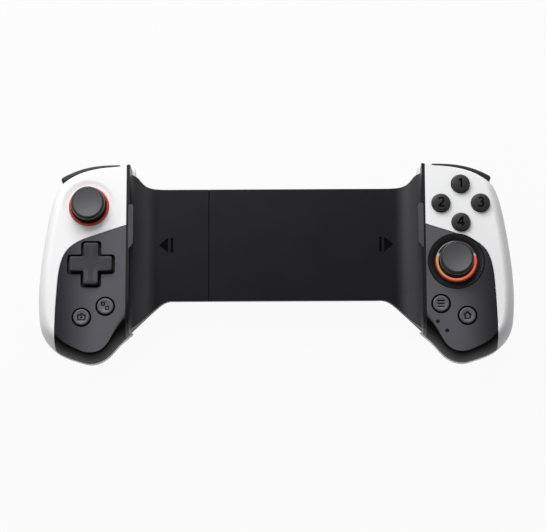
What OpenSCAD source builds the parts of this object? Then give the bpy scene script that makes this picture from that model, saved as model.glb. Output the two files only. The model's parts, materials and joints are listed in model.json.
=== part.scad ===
// Telescopic game controller for a phone, closed, lying on its back.
// +X points at the right grip, +Y at the shoulder buttons and +Z out of the face.
// The origin lies on the table, under the middle of the whole controller.
// Both grips are drawn on the +X side, and the left one is mirrored.
// A place on a grip is measured outwards from the shell's inner edge and up from the grip's middle.
// At the end each piece is moved from the grip's middle to the controller's middle.

/* [Bridge] */
// Clear width for the phone between the two side frames, with the bridge closed
phone_bay = 140.8; // [132:0.2:156]
// How far the left half pulls out of the right half
stretch = 40; // [20:1:46]
// Height of the bridge's front surface, on which the phone lies
bridge_z = 17; // [16.5:0.1:18]
// Height of the bridge's rear surface
bridge_back_z = 8.5; // [8:0.1:9]
// Lower edge of the bridge
bridge_low = -15.2; // [-18:0.1:-12]
// Upper edge of the bridge
bridge_high = 40.4; // [37:0.1:40.6]
// Length of the left half's cover, from its side frame to the seam
left_cover_l = 37.8; // [32:0.1:42]
// Thickness of the bridge's front covers
cover_t = 2.4; // [1.8:0.1:2.6]
// Thickness of the bridge's rear floor
back_t = 2; // [1.5:0.1:2.2]
// How far the bridge's rear half stands in from the edge of its cover
back_inset = 1.4; // [0.6:0.1:1.8]
// Length of the ramp that sweeps up to each side frame
ramp_l = 13.4; // [10:0.1:15]
// Height that the ramp climbs
ramp_h = 8; // [5:0.1:8.4]
// Distance of the pull mark's bar from the side frame
mark_in = 20.5; // [20:0.1:24]
// Length of the pull mark's arrow
arrow_l = 4.5; // [3:0.1:5]
// Width of the pull mark's arrow
arrow_w = 7.4; // [5:0.1:9]
// Width of the pull mark's bar
bar_w = 1.3; // [0.8:0.1:2]
// Depth of the pull mark
mark_depth = 0.4; // [0.2:0.1:0.8]

/* [Slide] */
// Thickness of the sliding tray
tray_t = 2.8; // [2.4:0.1:3]
// Length of the tray that stays in the right half when it is pulled out
tray_overlap = 36; // [24:1:38]
// Length of the tray inside the left half
tray_held = 24; // [14:0.5:26]
// Running gap around the tray
slide_gap = 0.25; // [0.15:0.05:0.4]
// Distance of the slide's channel from the bridge's edges
channel_in = 3.4; // [3:0.1:4]
// Width of a guide rail
rail_w = 1.5; // [1.2:0.1:1.6]
// Height of a guide rail
rail_h = 1.2; // [0.8:0.1:1.3]
// Outer diameter of a return spring
spring_d = 2.2; // [1.6:0.1:2.4]
// Wire of a return spring
spring_wire = 0.45; // [0.3:0.05:0.6]
// Distance of each return spring from the middle of the bridge
spring_off = 15; // [10:0.5:18]
// Width of the ribbon cable
ribbon_w = 10; // [6:0.5:14]

/* [Grip] */
// Depth of a grip from its face to the table
grip_t = 30; // [29.6:0.1:30.6]
// Height at which the grip's outline is widest
widest_z = 15; // [14.5:0.1:15.5]
// Height of the joint between the front and rear shells
part_z = 17.4; // [17:0.1:17.6]
// Wall of the shells
wall = 2; // [1.6:0.1:2.2]
// Rounding of the face's edge
edge_round = 6; // [4:0.1:6.4]
// Rounding of the grip's back
back_round = 15.5; // [13:0.1:16]
// Gap between the two shells of the face
seam_gap = 0.12; // [0.05:0.01:0.25]
// Thickness of the side frames that close the grips
frame_t = 1.6; // [1.2:0.1:2]
// Reach of the rear shell's ears beside the bridge
ear_reach = 3.2; // [2:0.1:4]

/* [Phone lip] */
// How far each lip stands over the phone's edge
lip_reach = 1.9; // [1.4:0.1:3]
// Thickness of a lip
lip_t = 3.6; // [2.5:0.1:4]
// Lower end of a lip
lip_low = 8; // [2:0.1:12]
// Upper end of a lip
lip_high = 30; // [24:0.1:34]
// Depth of the lip's seat in the side frame
lip_seat = 0.9; // [0.4:0.1:1]
// Depth of the lip's top below the face
lip_drop = 0.3; // [0.1:0.1:0.8]
// Bevel of the lip's upper corner
lip_bevel = 0.8; // [0.4:0.1:1.2]

/* [Sticks] */
// Left stick, out from the shell's inner edge
left_stick_x = 18; // [17.6:0.1:18.2]
// Left stick, up from the middle of the grip
left_stick_y = 28.9; // [28.4:0.1:29.2]
// Right stick, out from the shell's inner edge
right_stick_x = 14.4; // [13.6:0.1:15.2]
// Right stick, up from the middle of the grip
right_stick_y = 1; // [-0.4:0.1:1.2]
// Depth of the stick's pivot below the face
pivot_depth = 12; // [11.8:0.1:12.1]
// Diameter of the stick's cap
cap_d = 16.4; // [15:0.1:17]
// Height of the cap's top rim above the face
cap_rise = 8.3; // [8:0.1:9]
// Rounding of the cap's rim
cap_edge = 1; // [0.8:0.1:1.1]
// Depth of the hollow in the cap's top
cap_hollow = 0.9; // [0.4:0.1:1.2]
// Gap between the light ring and the dome that follows the cap under it
dome_gap = 0.34; // [0.3:0.02:0.5]
// Radius of the light ring
ring_r = 10.1; // [10:0.1:10.4]
// Width of the light ring
ring_w = 1.6; // [1.2:0.1:1.6]
// Height of the light ring above the face
ring_rise = 0.7; // [0.3:0.1:0.8]
// Radius of the shallow dish around the ring
dish_r = 13.2; // [12.6:0.1:13.4]
// Depth of that dish
dish_depth = 0.9; // [0.4:0.1:1]
// Radius of the stick's shaft
shaft_r = 1.6; // [1.4:0.05:1.8]
// Width of the gimbal's housing
housing_w = 14; // [13.6:0.1:14]
// Wall of the gimbal's housing
housing_wall = 1.2; // [1:0.1:1.2]
// Gap between the yoke and the housing's walls
yoke_gap = 0.6; // [0.5:0.05:0.8]
// Thickness of the yoke
yoke_t = 3.2; // [2.8:0.1:3.4]

/* [Buttons] */
// Middle of the four face buttons, out from the shell's inner edge
face_buttons_x = 17; // [16.4:0.1:17.4]
// Middle of the four face buttons, up from the middle of the grip
face_buttons_y = 29.6; // [29.4:0.1:29.9]
// Distance of each face button from that middle
face_spread = 9.5; // [9.3:0.1:9.6]
// Diameter of a face button
face_button_d = 8.6; // [8:0.1:8.8]
// Diameter of a small button
small_button_d = 7.8; // [7:0.1:8.2]
// Height of the face buttons above the face
face_button_rise = 2.2; // [1.6:0.1:2.6]
// Height of the small buttons above the face
small_button_rise = 0.7; // [0.4:0.1:1]
// Gap around a face button
button_gap = 0.3; // [0.15:0.05:0.4]
// Gap around a small button
small_gap = 0.6; // [0.3:0.05:0.7]
// Travel of a button
button_travel = 1.2; // [0.8:0.1:1.4]
// Depth of a button's flange below the face
flange_depth = 5; // [4.8:0.1:5.4]
// Radius of a status light
light_r = 0.7; // [0.5:0.05:1]

/* [Direction pad] */
// Middle of the direction pad, out from the shell's inner edge
dpad_x = 16.6; // [15.8:0.1:17.2]
// Middle of the direction pad, up from the middle of the grip
dpad_y = 0.2; // [-0.6:0.1:0.4]
// Length of the cross from tip to tip
dpad_l = 20.4; // [18:0.1:20.6]
// Width of an arm
dpad_w = 7.2; // [6:0.1:8]
// Height of the cross above the face
dpad_rise = 2.2; // [1.4:0.1:2.6]
// Gap around the cross
dpad_gap = 0.75; // [0.7:0.05:0.9]
// Depth of the rocking point below the face
dpad_pivot_depth = 4.8; // [4.7:0.1:5.2]
// Radius of the ball on which the cross rocks
ball_r = 2; // [1.6:0.1:2.2]

/* [Shoulder buttons] */
// How far the bumper stands out of the shell
bumper_proud = 1.7; // [1:0.1:2.2]
// Depth of the bumper behind the outline
bumper_depth = 3.4; // [3:0.1:3.5]
// Height of the bumper
bumper_h = 8; // [7:0.1:8.4]
// Reach of the bumper from its pivot
bumper_reach = 26.6; // [24:0.1:27]
// Room behind the bumper in which it swings
bumper_room = 2; // [1.8:0.1:2.2]
// Inner end of the trigger, from the shell's inner edge
trigger_x = 6.7; // [6.4:0.1:7]
// Width of the trigger
trigger_w = 16.6; // [14:0.1:16.8]
// Pivot of the trigger, up from the middle of the grip
trigger_y = 42.6; // [42.4:0.1:42.8]
// Depth of the trigger's pivot behind the shells' joint
trigger_drop = 6.2; // [6.1:0.1:6.6]
// Radius of the pivot pins
pin_r = 1; // [0.8:0.05:1.05]
// Running gap of the pins in their bores
pin_gap = 0.05; // [0.02:0.01:0.08]

/* [Boards and fasteners] */
// Thickness of the circuit boards
board_t = 1.6; // [1.2:0.1:1.7]
// Depth of the boards' front surface behind the shells' joint
board_drop = 4.9; // [4.8:0.1:5.1]
// Radius of a screw's shank
screw_r = 1.1; // [0.9:0.05:1.15]
// Radius of a screw's head
screw_head_r = 2.2; // [1.9:0.05:2.3]
// Height of a screw's head
screw_head_h = 1.6; // [1.2:0.1:1.8]
// Length of a grip's screw under its head
screw_l = 12.5; // [8:0.1:14]
// Height at which the screws' heads sit in the back
head_seat_z = 7.8; // [7:0.1:8.4]
// Width of the battery
battery_w = 22; // [16:0.5:24]
// Length of the battery
battery_l = 36; // [28:0.5:38]
// Thickness of the battery
battery_t = 5.8; // [4:0.1:6]
// Width of the charging socket
port_w = 9; // [8.4:0.1:9.4]
// Height of the charging socket
port_h = 3.3; // [2.9:0.1:3.5]
// Length of the charging socket
port_l = 7.4; // [6.4:0.1:8]

/* [Hidden] */
$fn = 48;
big = 200;                                   // longer than anything here
over = 1;                                    // how far a cut runs past a surface
free = 0.3;                                  // gap kept between neighbours that don't touch
seat_gap = 0.05;                             // gap between pieces that rest on each other
fit_gap = 0.15;                              // gap around a tab or a shank that passes through
head_gap = 0.2;                              // gap around a screw's head
sink = 0.5;                                  // depth to which a boss or post is rooted
side_x = phone_bay / 2;                      // inner face of a side frame
shell_x = side_x + frame_t;                  // where the shells begin
face_in = grip_t - wall;                     // inside of the face
seam_x = -side_x + left_cover_l;             // joint between the bridge's covers
floor_z = bridge_back_z + back_t;            // floor of the slide's channel
cover_z = bridge_z - cover_t;                // underside of the bridge's covers
bridge_mid = (bridge_low + bridge_high) / 2;
channel_low = bridge_low + channel_in;
channel_high = bridge_high - channel_in;
tray_z = floor_z + slide_gap;
tray_left = seam_x - tray_held;
tray_right = seam_x + stretch + tray_overlap;
channel_end = tray_right + 4;
board_z = part_z - board_drop;               // front surface of the boards
board_back_z = board_z - board_t;
left_stick = [left_stick_x, left_stick_y];
right_stick = [right_stick_x, right_stick_y];
pivot_z = grip_t - pivot_depth;
ring_flange_t = 0.7;
ring_low_z = face_in - sink - ring_flange_t; // underside of the light ring
dome_r = norm([ring_r - ring_w - dome_gap, ring_low_z - pivot_z]);
yoke_w = housing_w - 2 * (housing_wall + yoke_gap);
dpad_at = [dpad_x, dpad_y];
dpad_pivot_z = grip_t - dpad_pivot_depth;
bumper_low_z = part_z - seam_gap + free;     // just over the rear shell's rim
bumper_top_z = bumper_low_z + bumper_h;
bumper_pivot = [5.6, 46.4];
bumper_hub_r = pin_r + 1.2;
trigger_z = part_z - trigger_drop;
trigger_hub_r = 2.6;
trigger_ear_t = 3;
trigger_ear_l = 5.6;
screw_boss_r = 2 * screw_r;
port_at = [24, -41.4];
port_z = board_back_z - port_h / 2;

// Outline of a grip where it is widest, measured from the shell's inner edge.
// The third number is the share of edge_round that the face's edge takes there.
grip_knots = [
    [-10, 49.4, 0.25], [4, 49.6, 0.3], [16, 48.6, 0.35], [25.5, 45.8, 0.45], [32.8, 41.3, 0.8],
    [36.6, 33, 1], [39.4, 19, 1], [41.8, 1, 1], [42.6, -16, 1], [40.8, -31, 1],
    [33.4, -40.2, 0.85], [23, -44.8, 0.65], [16, -46, 0.65], [9.5, -43.4, 0.8], [3, -36.6, 1.15],
    [-10, -22, 1.6], [-10, 2, 0], [-10, 27, 0]];
outline_steps = 3;
ring_step = 18;                              // degrees from one ring of the grip to the next
// The rings shrink towards a line along the middle of the palm.
spine_x = shell_x + 20;
spine_low = -26;
spine_high = 30;
// Edge of the dark panel, from the shell's inner edge round to the bottom
panel_knots = [
    [-14, 24.3], [0, 19.4], [14, 14.8], [23.5, 11], [29, 6],
    [31.8, -2], [33, -15], [33.6, -30], [33.8, -54]];
panel_steps = 4;
// Upper and lower edge of a wing, as distance from the side frame and rise over the bridge's edge
wing_top = [[-15.6, 0], [-10.6, 0.4], [-7.1, 1.5], [-4.9, 3.4], [-3.4, 5.1], [-1.7, 6], [0, 6.1]];
wing_low = [[-22.4, 0], [-17.4, -0.4], [-12, -4.1], [0, -15.6]];
wing_steps = 3;
wing_end_y = bridge_high + wing_top[len(wing_top) - 1].y;
wing_start_y = bridge_low + wing_low[len(wing_low) - 1].y;
ramp_steps = 8;
// Side view of the trigger's finger, in Y and Z from the pivot
trigger_knots = [
    [-0.6, 2.2], [2.6, 4], [6.6, 4.4], [8.2, 2.8], [8.5, -0.6], [7.6, -4.4], [5.8, -7.4],
    [4.1, -8.6], [2.9, -7.9], [3.6, -5], [3, -2.8], [-0.6, -2.2]];

// Places on a grip
face_buttons = [face_buttons_x, face_buttons_y];
face_places = [for (a = [90, 180, 0, 270]) face_buttons + face_spread * [cos(a), sin(a)]];
view_at = [9.5, -20.4];
capture_at = [20.8, -25.7];
menu_at = [6.8, -19.8];
home_at = [19.3, -25.6];
lights_at = [[5.1, -28.4], [9.5, -32.9]];
shell_screws = [[4, 37.4], [31.8, 24]];
panel_screws = [[30.6, -27], [14, -38]];
grip_screws = concat(shell_screws, panel_screws);
function stick_at(side) = side > 0 ? right_stick : left_stick;
function small_places(side) = side > 0 ? [menu_at, home_at] : [view_at, capture_at];

// Screws that hold each wing together, and the tab by which it is held in the grip
wing_screw_x = side_x - 7;
wing_screw_off = 13;
wing_screws_y = [bridge_mid - wing_screw_off, bridge_mid + wing_screw_off];
wing_seat_z = floor_z;
wing_skin = 0.8;                             // what is left of the cover over a screw
tab_w = 24;
tab_l = frame_t + 4;

// Cubic through the knots a, b, c, d, from b to c as t goes from 0 to 1
function cubic(a, b, c, d, t) =
    0.5 * (2 * b + (c - a) * t + (2 * a - 5 * b + 4 * c - d) * t * t
    + (3 * b - a - 3 * c + d) * t * t * t);
function closed_at(p, i) = p[(i + len(p)) % len(p)];
function open_at(p, i) = p[max(0, min(len(p) - 1, i))];
function closed_curve(p, n) = [for (i = [0:len(p) - 1], k = [0:n - 1])
    cubic(closed_at(p, i - 1), closed_at(p, i), closed_at(p, i + 1), closed_at(p, i + 2), k / n)];
function open_curve(p, n) = concat([for (i = [0:len(p) - 2], k = [0:n - 1])
    cubic(open_at(p, i - 1), open_at(p, i), open_at(p, i + 1), open_at(p, i + 2), k / n)],
    [p[len(p) - 1]]);
function arc(c, r, from, to, n) = [for (i = [0:n]) let (a = from + (to - from) * i / n)
    c + r * [cos(a), sin(a)]];

grip_outline = [for (p = closed_curve(grip_knots, outline_steps)) [shell_x + p.x, p.y, p.z]];

// The point p moved inwards by d, towards the palm's line
function inwards(p, d) = let (
    s = [spine_x, max(spine_low, min(spine_high, p.y))],
    v = s - [p.x, p.y]) [p.x, p.y] + v / norm(v) * d;
// Middle of the whole controller, between the bumpers' crest and the grips' lower end
crest_y = max([for (p = grip_outline) if (p.x > shell_x) inwards(p, -bumper_proud).y]);
middle_y = (crest_y + min([for (p = grip_outline) p.y])) / 2;
// One ring of the grip: a is -90 at the back, 0 where it is widest and 90 at the face
function ring_z(a, in) = a < 0 ? widest_z + (widest_z - in) * sin(a)
    : widest_z + (grip_t - in - widest_z) * sin(a);
function grip_ring(a, in) = [for (p = grip_outline) let (
    round_here = a < 0 ? back_round : edge_round * p.z,
    q = inwards(p, in + round_here * (1 - cos(a)))) [q.x, q.y, ring_z(a, in)]];

// The whole grip as one closed body, drawn in from its surface by in
module grip_body(in = 0) {
    angles = [for (a = [-90:ring_step:90]) a];
    n = len(grip_outline);
    rings = len(angles);
    points = concat([for (a = angles) each grip_ring(a, in)],
        [[spine_x, 0, ring_z(-90, in)], [spine_x, 0, ring_z(90, in)]]);
    sides = [for (r = [0:rings - 2], i = [0:n - 1]) let (
        a = r * n + i, b = r * n + (i + 1) % n, c = a + n, d = b + n) each [[a, b, d], [a, d, c]]];
    back = [for (i = [0:n - 1]) [rings * n, (i + 1) % n, i]];
    top = (rings - 1) * n;
    face = [for (i = [0:n - 1]) [rings * n + 1, top + i, top + (i + 1) % n]];
    polyhedron(points, concat(sides, back, face));
}

// Puts a piece on its side and moves it to the controller's middle
module on_side(side) {
    translate([0, -middle_y, 0]) {
        if (side < 0) mirror([1, 0, 0]) children();
        else children();
    }
}

// A place on a grip
module at(p, z = 0) {
    translate([shell_x + p.x, p.y, z]) children();
}

// Everything in front of the shells' joint
module front_half() {
    translate([shell_x, -big / 2, part_z]) cube(big);
}

// Everything behind the shells' joint
module rear_half() {
    translate([shell_x, -big / 2, part_z - seam_gap - big]) cube(big);
}

// The part of the face that the dark panel takes
module panel_zone(shift = 0) {
    edge = open_curve(panel_knots, panel_steps);
    corner = [panel_knots[0].x, panel_knots[len(panel_knots) - 1].y];
    translate([shell_x + shift, shift, part_z - over])
        linear_extrude(grip_t) polygon(concat(edge, [corner]));
}

// Band along the grip's upper edge, from outside the outline to inside it
module upper_band(out, in) {
    upper = [for (p = grip_outline) if (p.y > spine_high + 6 && p.x > shell_x - 8) p];
    linear_extrude(big, center = true) polygon(concat(
        [for (p = upper) inwards(p, -out)],
        [for (i = [len(upper) - 1:-1:0]) inwards(upper[i], in)]));
}

// What the bumper may take up: round its pivot, and no further in than its hub
module bumper_sweep(gap, low, high) {
    intersection() {
        at(bumper_pivot, low) cylinder(r = bumper_reach + gap, h = high - low);
        translate([shell_x + bumper_pivot.x - bumper_hub_r - gap, 0, 0]) cube(big);
    }
}

// Room for the bumper and for the trigger's top in the front shell
module bumper_slot() {
    intersection() {
        upper_band(bumper_proud + 8, bumper_depth + bumper_room);
        bumper_sweep(free, part_z - over, bumper_top_z + free);
    }
}

// Bosses that take the screws, reaching down through the board to the rear columns
module front_bosses(places) {
    low = board_back_z + seat_gap;
    for (p = places) at(p, low) cylinder(r = screw_boss_r, h = face_in + sink - low);
}

module screw_pilots() {
    for (p = grip_screws) at(p) cylinder(r = screw_r + pin_gap, h = head_seat_z + screw_l);
}

// Peg on which the bumper swings
module bumper_peg() {
    at(bumper_pivot, bumper_low_z - sink) cylinder(r = pin_r, h = face_in + sink - bumper_low_z);
}

face_hole_r = face_button_d / 2 + button_gap;
small_hole_r = small_button_d / 2 + small_gap;
flange_z = grip_t - flange_depth;
collar_wall = 1.4;

// Collar inside the face that guides a button
module collar(p, hole_r) {
    low = flange_z + free;
    at(p, low) cylinder(r = hole_r + collar_wall, h = face_in + sink - low);
}

module button_hole(p, r) {
    at(p, board_z) cylinder(r = r, h = big);
}

// Opening for a stick, with the dish around its light ring
module stick_opening(p) {
    dish_flat = 0.5;
    button_hole(p, ring_r + pin_gap);
    at(p) rotate_extrude() polygon([
        [ring_r - over, grip_t - dish_depth], [ring_r + dish_flat, grip_t - dish_depth],
        [dish_r, grip_t], [dish_r, grip_t + over], [ring_r - over, grip_t + over]]);
}

module dpad_cross(l, w, h) {
    linear_extrude(h) union() {
        square([l, w], center = true);
        square([w, l], center = true);
    }
}

// White shell of the upper face and the outer side
module front_shell(side) {
    color("white") on_side(side) difference() {
        union() {
            difference() {
                intersection() {
                    grip_body();
                    front_half();
                }
                difference() {
                    grip_body(wall);
                    if (side > 0) for (p = face_places) collar(p, face_hole_r);
                }
                panel_zone(seam_gap);
                bumper_slot();
            }
            front_bosses(shell_screws);
            bumper_peg();
        }
        screw_pilots();
        if (side > 0) for (p = face_places) button_hole(p, face_hole_r);
        else stick_opening(left_stick);
    }
}

// Dark panel of the lower face
module face_panel(side) {
    color("#4b4b50") on_side(side) difference() {
        union() {
            difference() {
                intersection() {
                    grip_body();
                    front_half();
                    panel_zone();
                }
                difference() {
                    grip_body(wall);
                    for (p = small_places(side)) collar(p, small_hole_r);
                }
            }
            front_bosses(panel_screws);
        }
        screw_pilots();
        for (p = small_places(side)) button_hole(p, small_hole_r);
        if (side > 0) {
            stick_opening(right_stick);
            for (p = lights_at) button_hole(p, light_r + pin_gap);
        } else {
            at(dpad_at, board_z) dpad_cross(dpad_l + 2 * dpad_gap, dpad_w + 2 * dpad_gap, big);
        }
    }
}

// Columns that carry the board and the trigger's ears, inside the rear shell
module rear_columns() {
    column_r = screw_boss_r + 1;
    for (p = grip_screws) at(p, -over) cylinder(r = column_r, h = board_back_z + over);
    for (x = [trigger_x - free - trigger_ear_t, trigger_x + trigger_w + free])
        at([x, trigger_y - trigger_ear_l / 2], -over)
            cube([trigger_ear_t, trigger_ear_l, part_z - seam_gap]);
}

module trigger_bore() {
    l = trigger_x + trigger_w + free + trigger_ear_t + over;
    at([0, trigger_y], trigger_z) rotate([0, 90, 0]) cylinder(r = pin_r + pin_gap, h = l);
}

// Rounded slot along Y, as wide as w and as high as h
module slot_y(w, h, l) {
    rotate([-90, 0, 0]) linear_extrude(l) union() {
        square([w - h, h], center = true);
        for (s = [-1, 1]) translate([s * (w - h) / 2, 0]) circle(d = h);
    }
}

// Puts a block above and below the end of a wing, a gap away from it
module beside_wing(gap) {
    translate([shell_x - ear_reach, wing_end_y + gap, -over]) children();
    translate([shell_x - ear_reach, wing_start_y - gap - big, -over]) children();
}

// White shell of the palm, with the ears that show above and below the bridge
module rear_shell(side) {
    color("white") on_side(side) difference() {
        intersection() {
            grip_body();
            union() {
                rear_half();
                beside_wing(free) cube([ear_reach + over, big, part_z - seam_gap + over]);
            }
        }
        difference() {
            grip_body(wall);
            rear_columns();
            beside_wing(free) cube([ear_reach + wall, big, big]);
        }
        for (p = grip_screws) {
            at(p, -over) cylinder(r = screw_head_r + head_gap, h = head_seat_z + over);
            at(p) cylinder(r = screw_r + fit_gap, h = big);
        }
        at([trigger_x - free, trigger_y - trigger_hub_r - free], -big / 2)
            cube([trigger_w + 2 * free, big, big]);
        trigger_bore();
        if (side > 0) at([port_at.x, -big / 2], port_z)
            slot_y(port_w + 2 * free, port_h + 2 * free, big / 2 + port_at.y + port_l);
    }
}

// Dark frame that closes the grip's inner side
module side_frame(side) {
    color("#1d1d20") on_side(side) difference() {
        intersection() {
            grip_body();
            translate([side_x, -big / 2, -over]) cube([frame_t, big, big]);
        }
        beside_wing(0) cube([ear_reach + over, big, part_z + over]);
        translate([side_x - over, lip_low - seam_gap, grip_t - lip_drop - lip_t - seam_gap])
            cube([lip_seat + over + seam_gap, lip_high - lip_low + 2 * seam_gap, big]);
        translate([side_x - over, bridge_mid - tab_w / 2 - fit_gap, bridge_back_z])
            cube([frame_t + 2 * over, tab_w + 2 * fit_gap, back_t + fit_gap]);
    }
}

// Lip that holds the phone's edge down
module phone_lip(side) {
    low_bevel = lip_reach + lip_bevel;
    color("#3a3a3e") on_side(side)
        translate([side_x, 0, grip_t - lip_drop - lip_t]) linear_extrude(lip_t) polygon([
            [lip_seat, lip_low], [0, lip_low], [-lip_reach, lip_low + low_bevel],
            [-lip_reach, lip_high - lip_bevel], [-lip_reach + lip_bevel, lip_high],
            [lip_seat, lip_high]]);
}

// Height of the bridge's front surface at x, measured on the right half
function front_z(x) = let (u = max(0, x - side_x + ramp_l) / ramp_l)
    bridge_z + ramp_h * (1 - sqrt(max(0, 1 - u * u)));

// Inner end of one half of the bridge, measured on the right half
function inner_end(side) = side * seam_x + seam_gap / 2;

// Outline of a wing seen from the front, drawn in by in
module wing_plan(side, in = 0) {
    top = [for (p = open_curve(wing_top, wing_steps)) [side_x + p.x, bridge_high + p.y - in]];
    low = [for (p = open_curve(wing_low, wing_steps)) [side_x + p.x, bridge_low + p.y + in]];
    linear_extrude(big) polygon(concat(
        [[inner_end(side), bridge_low + in]], low,
        [for (i = [len(top) - 1:-1:0]) top[i]], [[inner_end(side), bridge_high - in]]));
}

// Points along the ramp of the front surface, lowered by drop
function ramp(drop) = [for (i = [0:ramp_steps]) let (
    x = side_x - ramp_l + ramp_l * sin(90 * i / ramp_steps)) [x, front_z(x) - drop]];

// Body that runs through the whole bridge with the given side view
module along_y(points) {
    translate([0, big / 2, 0]) rotate([90, 0, 0]) linear_extrude(big) polygon(points);
}

// Arrow and bar that show which way to pull
module pull_mark() {
    bar_gap = 1.2;
    translate([side_x - mark_in, bridge_mid, bridge_z - mark_depth]) linear_extrude(big) union() {
        translate([bar_w + bar_gap, 0])
            polygon([[0, -arrow_w / 2], [arrow_l, 0], [0, arrow_w / 2]]);
        translate([0, -arrow_w / 2]) square([bar_w, arrow_w]);
    }
}

module wing_screw_holes(r, top) {
    for (y = wing_screws_y) translate([wing_screw_x, y, 0]) cylinder(r = r, h = top);
}

// Front cover of one half of the bridge
module bridge_cover(side) {
    upper = ramp(0);
    lower = ramp(cover_t);
    color("#26262a") on_side(side) difference() {
        intersection() {
            wing_plan(side);
            along_y(concat([[inner_end(side), bridge_z]], upper,
                [for (i = [ramp_steps:-1:0]) lower[i]], [[inner_end(side), cover_z]]));
        }
        pull_mark();
        wing_screw_holes(screw_r + pin_gap, front_z(wing_screw_x) - wing_skin);
    }
}

post_r = 1;                                  // posts that hold the return springs
post_x = channel_end - 2 * post_r;
hook_l = 2.4;                                // hooks of the tray that pull the springs
window_x = tray_left + 8;                    // where the tray's windows for the springs begin

// Rear half of the bridge: a channel for the tray on the right, a clamp for it on the left
module bridge_back(side) {
    room_l = side > 0 ? channel_end - inner_end(side) : tray_held + free;
    color("#202023") on_side(side) {
        difference() {
            intersection() {
                wing_plan(side, back_inset);
                along_y(concat([[inner_end(side), cover_z - seat_gap]], ramp(cover_t + seat_gap),
                    [[side_x, bridge_back_z], [inner_end(side), bridge_back_z]]));
            }
            translate([inner_end(side) - over, channel_low, floor_z])
                cube([room_l + over, channel_high - channel_low, big]);
            wing_screw_holes(screw_r + fit_gap, big);
            wing_screw_holes(screw_head_r + head_gap, wing_seat_z);
        }
        translate([side_x - over, bridge_mid - tab_w / 2, bridge_back_z + fit_gap])
            cube([tab_l + over, tab_w, back_t - fit_gap]);
        if (side > 0) for (s = [-1, 1])
            translate([post_x, bridge_mid + s * spring_off, floor_z - sink])
                cylinder(r = post_r, h = cover_z - floor_z);
    }
}

rail_gap = 0.2;
rail_z = floor_z + 1;
groove_h = rail_h + 2 * rail_gap;

// Sliding tray: held in the left half, running in the right half's channel
module slide_tray() {
    low = channel_low + slide_gap;
    high = channel_high - slide_gap;
    groove_d = rail_w + 2 * rail_gap;
    color("#151517") on_side(1) {
        difference() {
            translate([tray_left, low, tray_z]) cube([tray_right - tray_left, high - low, tray_t]);
            for (y = [low - over, high - groove_d])
                translate([seam_x, y, rail_z - rail_gap]) cube([big, groove_d + over, groove_h]);
            for (s = [-1, 1])
                translate([window_x, bridge_mid + s * spring_off - spring_d, 0])
                    cube([big, 2 * spring_d, big]);
        }
        for (s = [-1, 1])
            translate([window_x - over, bridge_mid + s * spring_off - over, tray_z])
                cube([hook_l, 2 * over, tray_t]);
    }
}

// Steel strips on which the tray runs
module guide_rails() {
    start = seam_x + 1;
    color("silver") on_side(1) for (y = [channel_low, channel_high - rail_w])
        translate([start, y, rail_z]) cube([tray_right - start, rail_w, rail_h]);
}

// Two springs that pull the halves together, each from the tray's hook to a post
module return_springs() {
    from = window_x - over + hook_l + seat_gap;
    to = post_x - post_r - seat_gap;
    color("gainsboro") on_side(1) for (s = [-1, 1])
        translate([from, bridge_mid + s * spring_off, tray_z + tray_t / 2]) rotate([0, 90, 0])
            difference() {
                cylinder(d = spring_d, h = to - from);
                translate([0, 0, -over]) cylinder(d = spring_d - 2 * spring_wire, h = big);
            }
}

// Ribbon that joins the two boards, above the tray
module flex_cable() {
    ribbon_t = 0.3;
    color("orange") on_side(1)
        translate([tray_left, bridge_mid - ribbon_w / 2, tray_z + tray_t + head_gap])
        cube([tray_right - tray_left, ribbon_w, ribbon_t]);
}

// Circuit board of a grip
module board(side) {
    board_inset = 6;
    board_x = 2.5;
    top_y = trigger_y - trigger_ear_l / 2 - 2 * free;
    color("darkgreen") on_side(side) difference() {
        intersection() {
            linear_extrude(big) polygon([for (p = grip_outline) inwards(p, board_inset)]);
            at([board_x, top_y - big], board_back_z) cube([big, big, board_t]);
        }
        for (p = grip_screws) at(p) cylinder(r = screw_boss_r + free, h = big);
    }
}

module battery_pack() {
    battery_at = [6, 1 - battery_l / 2];
    color("silver") on_side(-1) at(battery_at, board_back_z - free - battery_t)
        cube([battery_w, battery_l, battery_t]);
}

// Charging socket under the lower edge of the right board
module charge_port() {
    shield_t = 0.35;
    tongue_w = port_w - 2.3;
    tongue_t = 0.7;
    tongue_in = 1.4;
    color("silver") on_side(1) at(port_at, port_z) union() {
        difference() {
            slot_y(port_w, port_h, port_l);
            translate([0, -over, 0]) slot_y(port_w - 2 * shield_t, port_h - 2 * shield_t, port_l);
        }
        translate([-tongue_w / 2, tongue_in, -tongue_t / 2])
            cube([tongue_w, port_l - tongue_in - over / 2, tongue_t]);
    }
}

trunnion_r = 1;
cross_pin_r = 0.9;
end_gap = 0.2;                               // how far a gimbal's pins end behind the outer surface

// Housing of a stick's gimbal, open at the top, on the board
module stick_module(side) {
    h = pivot_z + 2.6 - board_z;
    room_w = housing_w - 2 * housing_wall;
    color("dimgray") on_side(side) at(stick_at(side), board_z) difference() {
        translate([0, 0, h / 2]) cube([housing_w, housing_w, h], center = true);
        translate([-room_w / 2, -room_w / 2, housing_wall]) cube([room_w, room_w, h]);
        translate([0, 0, pivot_z - board_z]) rotate([0, 90, 0])
            cylinder(r = trunnion_r + pin_gap, h = big, center = true);
    }
}

// Yoke that turns about X in the housing and carries the shaft
module stick_yoke(side) {
    shaft_room = 6;
    color("beige") on_side(side) at(stick_at(side), pivot_z) difference() {
        union() {
            cube([yoke_w, yoke_w, yoke_t], center = true);
            rotate([0, 90, 0]) cylinder(r = trunnion_r, h = housing_w - 2 * end_gap, center = true);
        }
        cube([shaft_room, shaft_room, yoke_t + over], center = true);
        rotate([90, 0, 0]) cylinder(r = cross_pin_r + pin_gap, h = big, center = true);
    }
}

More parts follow.
